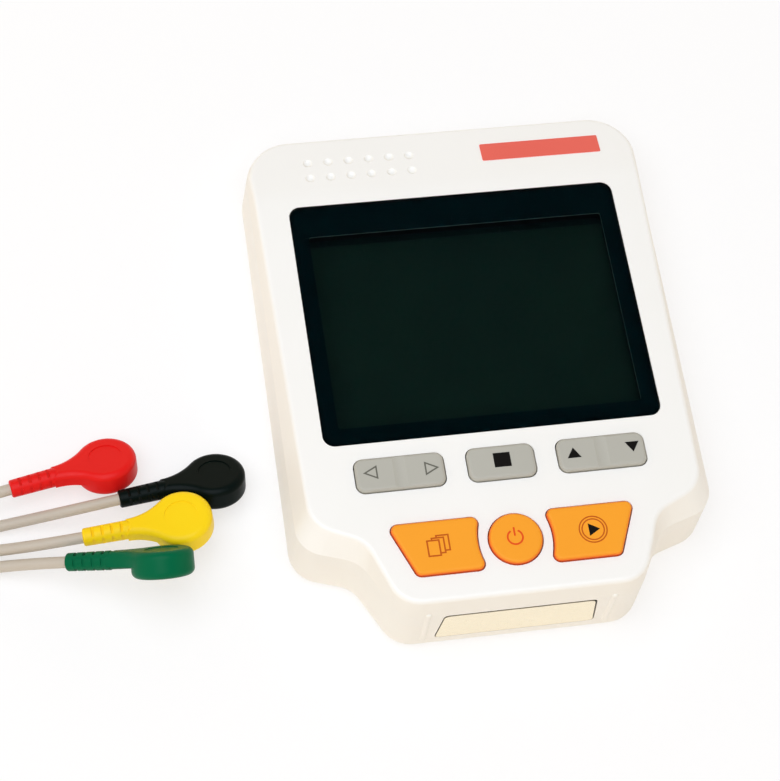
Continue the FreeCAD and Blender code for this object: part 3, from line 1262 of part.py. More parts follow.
def plug_insert():
    """The contact block inside the plug's nose, with the slot that takes the socket's tongue."""
    slot = plug_block(TONGUE_WIDTH + 2 * PLUG_TONGUE_GAP, TONGUE_THICKNESS + 2 * PLUG_TONGUE_GAP,
                      PLUG_SLOT_START, PLUG_SHELL_LENGTH + SPARE)
    return plug_block(PLUG_HOLLOW_WIDTH, PLUG_HOLLOW_HEIGHT, 0, PLUG_PIN_LENGTH).cut(slot)


def assembly():
    body = housing()
    inside = envelope(WALL)
    pieces = {
        "front_case": front_case(body, inside),
        "rear_case": rear_case(body, inside),
        "battery_cover": battery_cover(),
        "case_screws": case_screws(),
        "display_lens": display_lens(),
        "lens_mask": lens_mask(),
        "display_gasket": display_gasket(),
        "lcd_frame": lcd_frame(),
        "lcd_glass": lcd_glass(),
        "main_board": main_board(),
        "board_parts": board_parts(),
        "board_screws": board_screws(),
        "dome_switches": dome_switches(),
        "key_mat": key_mat(),
        "speaker": speaker(),
        "end_electrode": end_electrode(),
        "electrode_springs": electrode_springs(),
        "finger_electrode": finger_electrode(),
        "batteries": batteries(),
        "battery_springs": battery_springs(),
        "battery_contacts": battery_contacts(),
        "lead_socket": lead_socket(),
        "socket_insert": socket_insert(),
        "socket_board": socket_board(),
        "snap_sockets": snap_sockets(),
        "lead_yoke": lead_yoke(),
        "trunk_cable": cord_tube("trunk_cable", TRUNK_ROUTE, TRUNK_DIAMETER),
        "trunk_coil": trunk_coil(),
        "coil_tie": coil_tie(),
        "trunk_tail": cord_tube("trunk_tail", TAIL_ROUTE, TRUNK_DIAMETER),
        "plug_body": plug_body(),
        "plug_shell": plug_shell(),
        "plug_insert": plug_insert(),
    }
    for name in KEY_OUTLINES:
        pieces[name] = rocker_key(name) if name in ROCKERS else push_key(name)
    for index, name in enumerate(CLIPS):
        colour = name.split("_")[0]
        pieces[name] = snap_clip(name)
        pieces[colour + "_lead"] = lead(colour, index)
    return pieces


os.makedirs("parts", exist_ok=True)
for piece_name, piece in assembly().items():
    if not piece.isValid() or not piece.Solids:
        print(piece_name, "is not a sound solid")
    piece.exportStep("parts/" + piece_name + ".step")
    box = piece.BoundBox
    print(f"{piece_name:18s} solids {len(piece.Solids):2d} volume {piece.Volume:10.1f} "
          f"x {box.XMin:7.1f} {box.XMax:7.1f} y {box.YMin:7.1f} {box.YMax:7.1f} z {box.ZMin:6.2f} {box.ZMax:6.2f}")
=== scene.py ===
import json
import math

import bmesh
import bpy
from mathutils import Matrix, Vector


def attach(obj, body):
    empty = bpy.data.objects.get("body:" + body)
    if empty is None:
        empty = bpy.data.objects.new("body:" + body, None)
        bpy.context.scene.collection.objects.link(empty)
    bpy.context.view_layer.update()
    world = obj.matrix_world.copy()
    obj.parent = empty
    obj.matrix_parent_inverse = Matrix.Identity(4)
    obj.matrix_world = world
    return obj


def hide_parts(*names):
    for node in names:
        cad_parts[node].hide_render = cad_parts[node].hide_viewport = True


# A hand-held heart monitor for the home on a white table, with its set of four snap leads.
# The model is in metres; named sizes here are millimetres and degrees unless a comment says so.

MM = 0.001

# ---------------------------------------------------------------- places on the housing
# The face falls towards the top end. x runs to its right, v up it and rise out of it,
# from the middle of the display window. Above the display it bends down into a band.
FACE_TILT = 3.1
FACE_ORIGIN = Vector((0.0, 10.9, 22.0))
BAND_START_V = 35.8
BAND_ANGLE = 8.0
KEY_TOP = 1.0               # height of the key caps over the face

# ---------------------------------------------------------------- printed marks
INK_HEIGHT = 0.03           # how far the ink stands over its cap
INK_DEPTH = 0.05            # and how far it reaches down into it
LEFT_MARK = (-30.6, -40.3)
RIGHT_MARK = (-16.3, -40.6)
UP_MARK = (17.05, -40.4)
DOWN_MARK = (31.1, -40.35)
OPEN_ARROW_SIZE = (3.35, 1.75)      # length and half the base of the two outlined arrows
ARROW_SIZE = (2.6, 1.65)    # and of the two filled ones
ARROW_LINE = 0.36
STOP_MARK = (0.17, -40.33)
STOP_MARK_WIDTH = 3.95
STOP_MARK_HEIGHT = 3.6
FRONT_PAGE = (-19.0, -60.4)
PAGE_WIDTH = 3.1
PAGE_HEIGHT = 4.1
PAGE_STEP = (1.12, 0.55)    # from each sheet to the one behind it
PAGE_LINE = 0.36
POWER_MARK = (-0.2, -59.8)
POWER_RING_RADIUS = 1.95
POWER_RING_OPENING = 0.75
POWER_STROKE = (0.35, 2.45) # its two ends over the middle of the ring
POWER_LINE = 0.42
PLAY_MARK = (17.9, -59.9)
PLAY_RING_RADII = (3.35, 2.7)
PLAY_LINE = 0.3
PLAY_ARROW_BACK = 1.0       # from the middle of the rings to the base and the tip of the arrow
PLAY_ARROW_TIP = 1.6
PLAY_ARROW_HALF_BASE = 1.55
RING_STEPS = 64
CORNER_STEPS = 8

# ---------------------------------------------------------------- label plate
PLATE_X = 24.8
PLATE_UP = 8.75             # up the band from its start
PLATE_WIDTH = 30.0
PLATE_HEIGHT = 5.3
PLATE_THICKNESS = 0.18      # over the band; it is sunk in it by as much
PLATE_RADIUS = 0.35
PLATE_CORNER_STEPS = 4
PLATE_EDGE_RADIUS = 0.06
PLATE_EDGE_STEPS = 2

# ---------------------------------------------------------------- end plate
END_WALL_Y = -63.85         # of the end wall, where it meets the back
END_WALL_LEAN = 2.63
END_RECESS = 0.8            # from the wall to the plate that closes its opening
SHADOW_SEAL_TOP = 18.4             # the black seal fills the opening, a painted shade round the plate; heights are up the wall
SHADOW_SEAL_BOTTOM = 5.0
SHADOW_SEAL_TOP_HALF_WIDTH = 17.7
SHADOW_SEAL_BOTTOM_HALF_WIDTH = 18.9
SHADOW_SEAL_DEPTH = 0.3            # from the wall to its face
SHADOW_TOP_WIDTH = 0.8        # painted shadow: dark seal that shows over the bright facing of the plate
SHADOW_SIDE_WIDTH = 0.2
FACING_DEPTH = 0.03
END_CORNER_RADIUS = 1.2

# ---------------------------------------------------------------- cords
LEAD_DIAMETER = 2.7
TRUNK_DIAMETER = 4.2
CORD_BEVEL = 6              # gives a cord 16 faces round it
CORD_STEPS = 12             # steps between two points of its route
# Each lead's route from its clip over the table to the front of the yoke.
LEAD_ROUTES = {
    "red": [(-112.15, -17.4, 7.4), (-120.5, -19.1, 7.6), (-131.5, -20.6, 4.6), (-143.5, -21.5, 1.8),
            (-156.0, -23.1, 1.5), (-169.0, -24.6, 2.2), (-182.0, -24.05, 3.0)],
    "black": [(-87.48, -22.65, 7.5), (-96.0, -23.9, 7.7), (-107.0, -24.1, 4.5), (-118.5, -24.6, 2.0),
              (-130.5, -25.6, 1.5), (-142.5, -26.5, 1.5), (-155.0, -26.8, 1.7), (-168.5, -27.6, 2.4),
              (-182.0, -27.35, 3.0)],
    "yellow": [(-96.57, -31.63, 8.75), (-104.8, -32.0, 8.0), (-115.5, -31.2, 4.7), (-127.0, -30.2, 1.9),
               (-138.5, -29.8, 1.5), (-152.0, -30.5, 1.6), (-167.0, -30.7, 2.4), (-182.0, -30.65, 3.0)],
    "green": [(-100.67, -37.42, 9.3), (-108.5, -35.9, 6.5), (-119.5, -34.5, 2.9), (-134.0, -34.4, 1.5),
              (-150.5, -34.0, 1.6), (-167.0, -34.3, 2.4), (-182.0, -33.95, 3.0)],
}
TRUNK_START = [(-216.0, -29.0, 3.0), (-226.0, -29.6, 2.5)]
TRUNK_END = [(-232.0, 17.8, 5.4), (-223.0, 17.4, 3.8), (-213.5, 18.2, 2.9), (-204.0, 18.6, 3.5)]
COIL_CENTRE = (-246.0, -5.3)
COIL_OUTER_RADIUS = 25.2
COIL_INNER_RADIUS = 21.0
COIL_LOW_Z = 2.5
COIL_HIGH_Z = 6.4
COIL_TURNS = 2.5
COIL_POINTS = 16            # points of the route in one turn
COIL_START = -90            # where the first turn begins, round the middle of the coil
STEP_IN_START = 265         # degrees along the coil at which the cord passes inside its first turn,
STEP_IN_SPAN = 80           # and in how many more it has done so
CLIMB_START = 560           # the same for its climb on top of the other turns
CLIMB_SPAN = 70

# ---------------------------------------------------------------- camera and light
CAMERA_PLACE = (-96.53, -213.58, 496.88)
CAMERA_VIEW = (0.14137, 0.39328, -0.90849)
CAMERA_UP = (0.09470, 0.90812, 0.40786)
FOCAL_LENGTH = 103.23
SENSOR_WIDTH = 36.0
LAMP_PLACE = (-0.3, -0.22, 1.5)     # in metres, like its size
LAMP_SIZE = 1.6
LAMP_POWER = 25.0
ROOM_LIGHT = 0.84
TABLE_GLOW = 0.6            # how much of the table's white is its own light
TABLE_SIZE = 6.0            # half its side, in metres
TABLE_GAP = 0.05            # under the back of the monitor, so that the two don't share a plane
TABLE_CLEAR_REACH = 1.5     # from the table, where light from below comes through it to the back
CEILING_LOW = 0.45          # height of a direction at which the dark ceiling begins,
CEILING_HIGH = 0.8          # and from which it is all dark

# ---------------------------------------------------------------- finishes
MIX_A = 6                   # the colour sockets of a Mix node, which has others of the same names
MIX_B = 7
MIX_RESULT = 2
DRIFT_SIZE = 22.0           # over which the tone of a moulding drifts
NOISE_LOW = 0.3             # between these lie nearly all values of a noise texture
NOISE_HIGH = 0.7
# Between these two slopes a face takes the painted wall shade in part.
WALL_SLOPE = 0.3            # upward part of the normal, up to which a face is a wall,
LEVEL_SLOPE = 0.95          # and from which it is level
MOULDED_SPREAD = 0.05       # how far the roughness of a moulding strays to either side
METAL_SMOOTHER = 0.06       # how far that of a metal strays down
METAL_ROUGHER = 0.08        # and up
LINE_DEPTH = 0.01           # of the lines drawn in a metal
HANDLING_SIZE = 9.0         # of the faint marks that fingers leave on the window
DOT_PITCH = 0.35            # of the display; a real one of 0.2 would be too fine to show
TRACK_PITCH = 3.0           # of the circuit board, coarser than real ones so that it shows
TRACK_GAP = 0.08            # between two tracks, as a share of their pitch
INK_MESH = 0.25             # of the screen the ink was printed through, also coarser to show
PLASTIC_IOR = 1.5
ACRYLIC_IOR = 1.49
EDGE_FACE_SLOPE = 0.99      # upward part of the normal, under which a face belongs to the window's edge
PAINTED_RIM = 0.3           # width of the paint round the window's underside
BORDER_GAP = 0.03           # between that underside and the border, which would else share a plane
NEAR = 0.001                # corners this close are one


# ---------------------------------------------------------------- small helpers
def metres(point):
    """A point given in millimetres."""
    return Vector(point) * MM


def colour(text):
    """A linear colour from the six hex digits of an sRGB one."""
    parts = [int(text[i:i + 2], 16) / 255 for i in (0, 2, 4)]
    return tuple(c / 12.92 if c <= 0.04045 else ((c + 0.055) / 1.055) ** 2.4 for c in parts) + (1.0,)


def on_face(x, v, rise=0.0):
    """A point of the tilted face."""
    turn = Matrix.Rotation(math.radians(-FACE_TILT), 3, "X")
    return (FACE_ORIGIN + turn @ Vector((x, v, rise))) * MM


def on_band(x, up, rise):
    """A point of the band above the display."""
    bend = Matrix.Rotation(math.radians(-BAND_ANGLE), 3, "X") @ Vector((x, up, rise))
    return on_face(bend.x, BAND_START_V + bend.y, bend.z)


def on_end_wall(x, up, out):
    """A point of the end wall, up it from the back and out of it."""
    stand = Matrix.Rotation(math.radians(90 - END_WALL_LEAN), 3, "X")
    return metres((0, END_WALL_Y, 0)) + stand @ metres((x, up, out))


def add(tree, kind, inputs=None, **settings):
    """Add a node with its settings. An input is a value, or an output to link to it."""
    node = tree.nodes.new(kind)
    for name, value in settings.items():
        setattr(node, name, value)
    for name, value in (inputs or {}).items():
        if isinstance(value, bpy.types.NodeSocket):
            tree.links.new(value, node.inputs[name])
        else:
            node.inputs[name].default_value = value
    return node


def new_material(name):
    """A material without nodes, and its tree."""
    material = bpy.data.materials.new(name)
    material.use_nodes = True
    material.node_tree.nodes.clear()
    return material, material.node_tree


def in_scene(name, data):
    """Put a mesh, a curve, a lamp or a camera into the scene."""
    thing = bpy.data.objects.new(name, data)
    bpy.context.scene.collection.objects.link(thing)
    return thing


def made_of(name, form, material):
    """Turn a finished bmesh into a piece of one material."""
    mesh = bpy.data.meshes.new(name)
    form.to_mesh(mesh)
    form.free()
    mesh.materials.append(material)
    return in_scene(name, mesh)


def rides(piece, body, slot, *nodes):
    """Attach a new piece to the body it rides on and hide the CAD nodes it stands for. slot is not used."""
    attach(piece, body)
    if nodes:
        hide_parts(*nodes)


# ---------------------------------------------------------------- materials
def moulded(name, base, shade, roughness, grain_size=0.45, grain_depth=0.012, specular=0.5, wall=""):
    """A moulded plastic with the fine grain of its tool. A real grain would be too fine to show.

    shade is the tone that its colour drifts to here and there, and wall the darker colour that its
    upright faces are painted in: painted shade, as less light falls on them.
    """
    material, tree = new_material(name)
    place = add(tree, "ShaderNodeTexCoord").outputs["Object"]
    tone = colour(base)
    if shade:
        drift = add(tree, "ShaderNodeTexNoise", {"Vector": place, "Scale": 1 / (DRIFT_SIZE * MM),
                                                 "Detail": 1.0})
        tone = add(tree, "ShaderNodeMix", {"Factor": drift.outputs["Fac"], MIX_A: tone,
                                           MIX_B: colour(shade)}, data_type="RGBA").outputs[MIX_RESULT]
    fine = add(tree, "ShaderNodeTexNoise", {"Vector": place, "Scale": 1 / (grain_size * MM), "Detail": 3.0})
    gloss = add(tree, "ShaderNodeMapRange", {
        "Value": fine.outputs["Fac"], "From Min": NOISE_LOW, "From Max": NOISE_HIGH,
        "To Min": roughness - MOULDED_SPREAD, "To Max": roughness + MOULDED_SPREAD})
    bump = add(tree, "ShaderNodeBump", {"Height": fine.outputs["Fac"], "Strength": 0.35,
                                        "Distance": grain_depth * MM})
    # Painted shade: upright faces take the wall colour, and level ones keep their own.
    if wall:
        facing = add(tree, "ShaderNodeNewGeometry").outputs["Normal"]
        up = add(tree, "ShaderNodeSeparateXYZ", {"Vector": facing}).outputs["Z"]
        level = add(tree, "ShaderNodeMapRange", {"Value": up, "From Min": WALL_SLOPE,
                                                 "From Max": LEVEL_SLOPE})
        tone = add(tree, "ShaderNodeMix", {"Factor": level.outputs["Result"], MIX_A: colour(wall),
                                           MIX_B: tone}, data_type="RGBA").outputs[MIX_RESULT]
    shader = add(tree, "ShaderNodeBsdfPrincipled", {
        "Base Color": tone, "Roughness": gloss.outputs["Result"], "IOR": PLASTIC_IOR,
        "Specular IOR Level": specular, "Normal": bump.outputs["Normal"]})
    add(tree, "ShaderNodeOutputMaterial", {"Surface": shader.outputs["BSDF"]})
    return material


def ink(name, base):
    """Screen-printed ink: a dense film, a little uneven where the mesh of the screen lifted."""
    return moulded(name, base, "", roughness=0.5, grain_size=0.3, grain_depth=0.006, specular=0.1)


def soft_pvc(name, base, shade, specular):
    """Soft PVC of the snap clips: smooth, with a soft sheen."""
    return moulded(name, base, shade, roughness=0.36, grain_size=0.7, grain_depth=0.01, specular=specular)


def drawn_metal(name, base, roughness, line_size, stretch=(1.0, 1.0, 1.0)):
    """A plated or rolled metal with the lines of its making. Real ones would be too fine to show."""
    material, tree = new_material(name)
    place = add(tree, "ShaderNodeTexCoord").outputs["Object"]
    along = add(tree, "ShaderNodeMapping", {"Vector": place, "Scale": stretch})
    lines = add(tree, "ShaderNodeTexNoise", {"Vector": along.outputs["Vector"],
                                             "Scale": 1 / (line_size * MM), "Detail": 4.0})
    gloss = add(tree, "ShaderNodeMapRange", {
        "Value": lines.outputs["Fac"], "From Min": NOISE_LOW, "From Max": NOISE_HIGH,
        "To Min": roughness - METAL_SMOOTHER, "To Max": roughness + METAL_ROUGHER})
    bump = add(tree, "ShaderNodeBump", {"Height": lines.outputs["Fac"], "Strength": 0.3,
                                        "Distance": LINE_DEPTH * MM})
    shader = add(tree, "ShaderNodeBsdfPrincipled", {
        "Base Color": colour(base), "Metallic": 1.0, "Roughness": gloss.outputs["Result"],
        "Normal": bump.outputs["Normal"]})
    add(tree, "ShaderNodeOutputMaterial", {"Surface": shader.outputs["BSDF"]})
    return material


def coated_window():
    """Clear acrylic with a hard low-glare coat: it shows what lies under it and mirrors little."""
    material, tree = new_material("coated_acrylic_window")
    place = add(tree, "ShaderNodeTexCoord").outputs["Object"]
    handling = add(tree, "ShaderNodeTexNoise", {"Vector": place, "Scale": 1 / (HANDLING_SIZE * MM),
                                                "Detail": 5.0})
    gloss = add(tree, "ShaderNodeMapRange", {
        "Value": handling.outputs["Fac"], "From Min": NOISE_LOW, "From Max": NOISE_HIGH,
        "To Min": 0.0, "To Max": 0.03})
    shader = add(tree, "ShaderNodeBsdfPrincipled", {
        "Base Color": colour("F4F8F6"), "Transmission Weight": 1.0, "IOR": ACRYLIC_IOR,
        "Specular IOR Level": 0.2, "Roughness": gloss.outputs["Result"]})
    add(tree, "ShaderNodeOutputMaterial", {"Surface": shader.outputs["BSDF"]})
    return material


def window_ink():
    """Black ink bonded to the underside of the window, with a painted highlight on its cut edge."""
    material, tree = new_material("black_window_ink")
    facing = add(tree, "ShaderNodeNewGeometry").outputs["True Normal"]
    level = add(tree, "ShaderNodeSeparateXYZ", {"Vector": facing}).outputs["Z"]
    flat = add(tree, "ShaderNodeMath", {0: level}, operation="ABSOLUTE")
    place = add(tree, "ShaderNodeTexCoord").outputs["Object"]
    weave = add(tree, "ShaderNodeTexNoise", {"Vector": place, "Scale": 1 / (INK_MESH * MM)})
    film = add(tree, "ShaderNodeMix", {"Factor": weave.outputs["Fac"], MIX_A: colour("00171B"),
                                       MIX_B: colour("001216")}, data_type="RGBA")
    # Painted highlight: faces that are not level take a light grey-green.
    tone = add(tree, "ShaderNodeMix", {"Factor": flat.outputs["Value"], MIX_A: colour("64807A"),
                                       MIX_B: film.outputs[MIX_RESULT]}, data_type="RGBA")
    shader = add(tree, "ShaderNodeBsdfPrincipled", {
        "Base Color": tone.outputs[MIX_RESULT], "Roughness": 0.6, "Specular IOR Level": 0.0})
    add(tree, "ShaderNodeOutputMaterial", {"Surface": shader.outputs["BSDF"]})
    return material


def unlit_display():
    """The dark glass of a display that is switched off, with its fine dot pitch."""
    material, tree = new_material("unlit_display_glass")
    place = add(tree, "ShaderNodeTexCoord").outputs["Object"]
    dots = add(tree, "ShaderNodeTexVoronoi", {"Vector": place, "Scale": 1 / (DOT_PITCH * MM),
                                              "Randomness": 0.0}, distance="CHEBYCHEV")
    gloss = add(tree, "ShaderNodeMapRange", {"Value": dots.outputs["Distance"],
                                             "To Min": 0.28, "To Max": 0.4})
    drift = add(tree, "ShaderNodeTexNoise", {"Vector": place, "Scale": 1 / (DRIFT_SIZE * MM), "Detail": 1.0})
    tone = add(tree, "ShaderNodeMix", {"Factor": drift.outputs["Fac"], MIX_A: colour("112820"),
                                       MIX_B: colour("0D221E")}, data_type="RGBA")
    shader = add(tree, "ShaderNodeBsdfPrincipled", {
        "Base Color": tone.outputs[MIX_RESULT], "Roughness": gloss.outputs["Result"],
        "Specular IOR Level": 0.03})
    add(tree, "ShaderNodeOutputMaterial", {"Surface": shader.outputs["BSDF"]})
    return material


def solder_mask():
    """Green solder mask over the tracks of a board."""
    material, tree = new_material("green_solder_mask")
    place = add(tree, "ShaderNodeTexCoord").outputs["Object"]
    tracks = add(tree, "ShaderNodeTexVoronoi", {"Vector": place, "Scale": 1 / (TRACK_PITCH * MM)},
                 feature="DISTANCE_TO_EDGE")
    edge = add(tree, "ShaderNodeMapRange", {"Value": tracks.outputs["Distance"], "From Max": TRACK_GAP})
    tone = add(tree, "ShaderNodeMix", {"Factor": edge.outputs["Result"], MIX_A: colour("2E7A4A"),
                                       MIX_B: colour("14512F")}, data_type="RGBA")
    shader = add(tree, "ShaderNodeBsdfPrincipled", {"Base Color": tone.outputs[MIX_RESULT],
                                                    "Roughness": 0.35})
    add(tree, "ShaderNodeOutputMaterial", {"Surface": shader.outputs["BSDF"]})
    return material


MATERIALS = {
    # Injection-moulded ABS with a fine satin texture, the bright white of medical housings.
    # Its upright walls are painted a darker cream: painted shade.
    "white_plastic": lambda: moulded("satin_white_abs", "FAFBF9", "F7F8F5", roughness=0.36,
                                     wall="F5F1E7"),
    # The same white ABS for the tub at the back, painted a shade darker and warmer: painted shade.
    "rear_plastic": lambda: moulded("shaded_satin_white_abs", "F6F2E8", "F4EFE4", roughness=0.36),
    # Cast acrylic with a hard coat: clear, with hardly a reflection.
    "clear_lens": coated_window,
    # Screen ink on the back of the window: a deep flat black with a cast of blue.
    "black_print": window_ink,
    # Closed-cell foam, dull and porous.
    "black_foam": lambda: moulded("closed_cell_foam", "060A09", "030504", roughness=0.9, grain_size=0.5,
                                  grain_depth=0.08, specular=0.05),
    # Dull black paint over the display's pressed frame.
    "display_metal": lambda: moulded("black_painted_frame", "011816", "001413", roughness=0.7,
                                     grain_size=0.3, grain_depth=0.01, specular=0.05),
    # Etched display glass, switched off: a soft dark green.
    "display_glass": unlit_display,
    # Glass-epoxy board under green solder mask, with its tracks just visible.
    "circuit_board": solder_mask,
    # Moulded nylon of sockets and ties, black with a dull sheen.
    "black_plastic": lambda: moulded("black_moulded_plastic", "1A1B1B", "141515", roughness=0.45),
    # Zinc-plated steel of the screws, bright with fine turning lines.
    "steel": lambda: drawn_metal("zinc_plated_steel", "C9CBC8", roughness=0.28, line_size=0.25),
    # Pressed silicone rubber of the key mat, pale and matt.
    "key_rubber": lambda: moulded("silicone_rubber", "C4C2BB", "B9B7AF", roughness=0.6),
    # Rolled stainless steel with fine lines along the plate.
    "electrode_metal": lambda: drawn_metal("rolled_stainless_plate", "F8EBCE", roughness=0.3, line_size=0.12,
                                           stretch=(0.05, 1.0, 1.0)),
    # Shrunk sleeve of the cells, dark and glossy.
    "battery_wrap": lambda: moulded("shrunk_cell_sleeve", "22262E", "1A1D24", roughness=0.3,
                                    grain_depth=0.004),
    # Nickel plate on springs, contacts and the noses of plug and socket, warm and bright.
    "nickel": lambda: drawn_metal("nickel_plate", "D8D3C8", roughness=0.22, line_size=0.3),
    # Soft sheath of the leads: warm grey, a little dusty, with the fine marks of its die.
    "cord_grey": lambda: moulded("soft_grey_sheath", "C9C0B2", "BDB3A4", roughness=0.5, grain_size=0.6,
                                 grain_depth=0.01),
    # Matt grey ABS keys, with a slightly deeper grain than the case.
    "grey_key": lambda: moulded("matt_grey_key_abs", "B8B8AF", "B2B2A9", roughness=0.48, grain_size=0.4,
                                grain_depth=0.014, specular=0.3),
    # Matt orange ABS keys with deep, saturated colour, their walls painted a darker red as shade.
    "orange_key": lambda: moulded("matt_orange_key_abs", "FAA629", "F8A127", roughness=0.5,
                                  grain_size=0.4, grain_depth=0.01, specular=0.2, wall="F0642A"),
    # Soft PVC of the snap clips in the four colours that tell the leads apart.
    "red_plastic": lambda: soft_pvc("soft_red_pvc", "EC1E1C", "E21A18", specular=0.15),
    "clip_black": lambda: soft_pvc("soft_black_pvc", "04110F", "030D0B", specular=0.08),
    "yellow_plastic": lambda: soft_pvc("soft_yellow_pvc", "FFDC1A", "FCD213", specular=0.15),
    "green_plastic": lambda: soft_pvc("soft_green_pvc", "006844", "005E3C", specular=0.08),
}


def dress_nodes(frame):
    """Give every node of the frame its finish."""
    made = {slot: make() for slot, make in MATERIALS.items()}
    for part in frame["record"]["subparts"]:
        node = frame["nodes"][part["node"]]
        for index in range(len(node.material_slots)):
            node.material_slots[index].material = made[part["material_slot"]]
    return made


# ---------------------------------------------------------------- display window
def flat_copy(frame, node, name, material):
    """A copy of a CAD piece, merged, with sharp flat faces."""
    mesh = frame["nodes"][node].data.copy()
    mesh.materials.clear()
    mesh.materials.append(material)
    mesh.normals_split_custom_set([(0, 0, 0)] * len(mesh.loops))
    mesh.shade_flat()
    form = bmesh.new()
    form.from_mesh(mesh)
    bmesh.ops.remove_doubles(form, verts=form.verts, dist=NEAR * MM)
    form.to_mesh(mesh)
    form.free()
    return in_scene(name, mesh)


def display_window(frame, finishes):
    """The clear window over its black border, with its edge and the rim of its underside painted black."""
    border = flat_copy(frame, "lens_mask", "window_border", finishes["black_print"])
    rides(border, "monitor", "black_print", "lens_mask")
    window = flat_copy(frame, "display_lens", "display_window", finishes["clear_lens"])
    window.data.materials.append(ink("black_edge_paint", "040808"))
    form = bmesh.new()
    form.from_mesh(window.data)
    underside = [face for face in form.faces if face.normal.z < -EDGE_FACE_SLOPE]
    painted = [face for face in form.faces if abs(face.normal.z) < EDGE_FACE_SLOPE]
    painted += bmesh.ops.inset_region(form, faces=underside, thickness=PAINTED_RIM * MM, use_boundary=True,
                                      use_even_offset=True)["faces"]
    for face in painted:
        face.material_index = 1
    corners = {corner for face in form.faces if face.normal.z < -EDGE_FACE_SLOPE for corner in face.verts}
    bmesh.ops.translate(form, vec=on_face(0, 0, BORDER_GAP) - on_face(0, 0), verts=list(corners))
    form.to_mesh(window.data)
    form.free()
    rides(window, "monitor", "clear_lens", "display_lens")


# ---------------------------------------------------------------- thin layers
def layer(name, outlines, material, place, low, high):
    """A layer with the given flat outlines, laid on a surface by place, from low to high over it."""
    form = bmesh.new()
    for outline in outlines:
        outline(form)
    raised = bmesh.ops.extrude_face_region(form, geom=form.faces[:])
    for vertex in [part for part in raised["geom"] if isinstance(part, bmesh.types.BMVert)]:
        vertex.co.z = high - low
    for vertex in form.verts:
        vertex.co = place(vertex.co.x, vertex.co.y, low + vertex.co.z)
    bmesh.ops.recalc_face_normals(form, faces=form.faces)
    return made_of(name, form, material)


def polygon(corners):
    """A filled outline with straight sides."""
    def draw(form):
        return form.faces.new([form.verts.new((x, v, 0)) for x, v in corners])
    return draw


def disc(centre, radius):
    """A filled circle."""
    def draw(form):
        rim = bmesh.ops.create_circle(form, cap_ends=True, segments=RING_STEPS, radius=radius,
                                      matrix=Matrix.Translation((*centre, 0)))
        return rim["verts"][0].link_faces[0]
    return draw


def rounded(corners, radius):
    """A filled outline with straight sides and rounded corners."""
    def draw(form):
        face = polygon(corners)(form)
        bmesh.ops.bevel(form, geom=list(face.verts), offset=radius, segments=CORNER_STEPS, profile=0.5,
                        affect="VERTICES", material=-1)
    return draw


def line_round(outline, width, keep=None):
    """A line of the given width inside an outline. keep picks the sides that are drawn."""
    def draw(form):
        face = outline(form)
        face.normal_update()
        middle = face.calc_center_median()
        sides = bmesh.ops.inset_region(form, faces=[face], thickness=width, use_boundary=True,
                                       use_even_offset=True)["faces"]
        dropped = [face]
        if keep:
            dropped += [side for side in sides if not keep(side.calc_center_median() - middle)]
        bmesh.ops.delete(form, geom=dropped, context="FACES")
    return draw


def rectangle(x, v, width, height):
    """A filled rectangle round its middle."""
    left, right, low, high = x - width / 2, x + width / 2, v - height / 2, v + height / 2
    return polygon([(left, low), (right, low), (right, high), (left, high)])


def arrow(place, direction, size):
    """A filled triangle that points along direction."""
    length, half_base = size
    ahead = Vector(direction)
    side = Vector((-ahead.y, ahead.x)) * half_base
    tip = Vector(place) + ahead * length / 2
    base = Vector(place) - ahead * length / 2
    return polygon([tip, base + side, base - side])


# ---------------------------------------------------------------- printed marks
def page_behind(index):
    """The strokes of a sheet that show past the one in front of it."""
    step_x, step_v = PAGE_STEP
    right = FRONT_PAGE[0] + PAGE_WIDTH / 2 + index * step_x
    top = FRONT_PAGE[1] + PAGE_HEIGHT / 2 + index * step_v
    left, low, line = right - PAGE_WIDTH, top - PAGE_HEIGHT, PAGE_LINE
    strokes = [(left, top - line, right, top), (right - line, low, right, top - line),
               (left, top - step_v, left + line, top - line), (right - step_x, low, right - line, low + line)]
    return [polygon([(x0, v0), (x1, v0), (x1, v1), (x0, v1)]) for x0, v0, x1, v1 in strokes]


def pages_mark():
    """Three sheets, each behind the last and drawn only where it shows."""
    front = line_round(rectangle(*FRONT_PAGE, PAGE_WIDTH, PAGE_HEIGHT), PAGE_LINE)
    return [front] + page_behind(1) + page_behind(2)


def power_mark():
    """A ring that is open at the top round a short upright stroke."""
    x, v = POWER_MARK
    low, high = POWER_STROKE
    ring = line_round(disc(POWER_MARK, POWER_RING_RADIUS), POWER_LINE,
                      lambda offset: offset.y < 0 or abs(offset.x) > POWER_RING_OPENING)
    return [ring, rectangle(x, v + (low + high) / 2, POWER_LINE, high - low)]


def play_arrow():
    """The arrow in the rings. It points to the right."""
    x, v = PLAY_MARK
    back = x - PLAY_ARROW_BACK
    return polygon([(back, v + PLAY_ARROW_HALF_BASE), (back, v - PLAY_ARROW_HALF_BASE),
                    (x + PLAY_ARROW_TIP, v)])


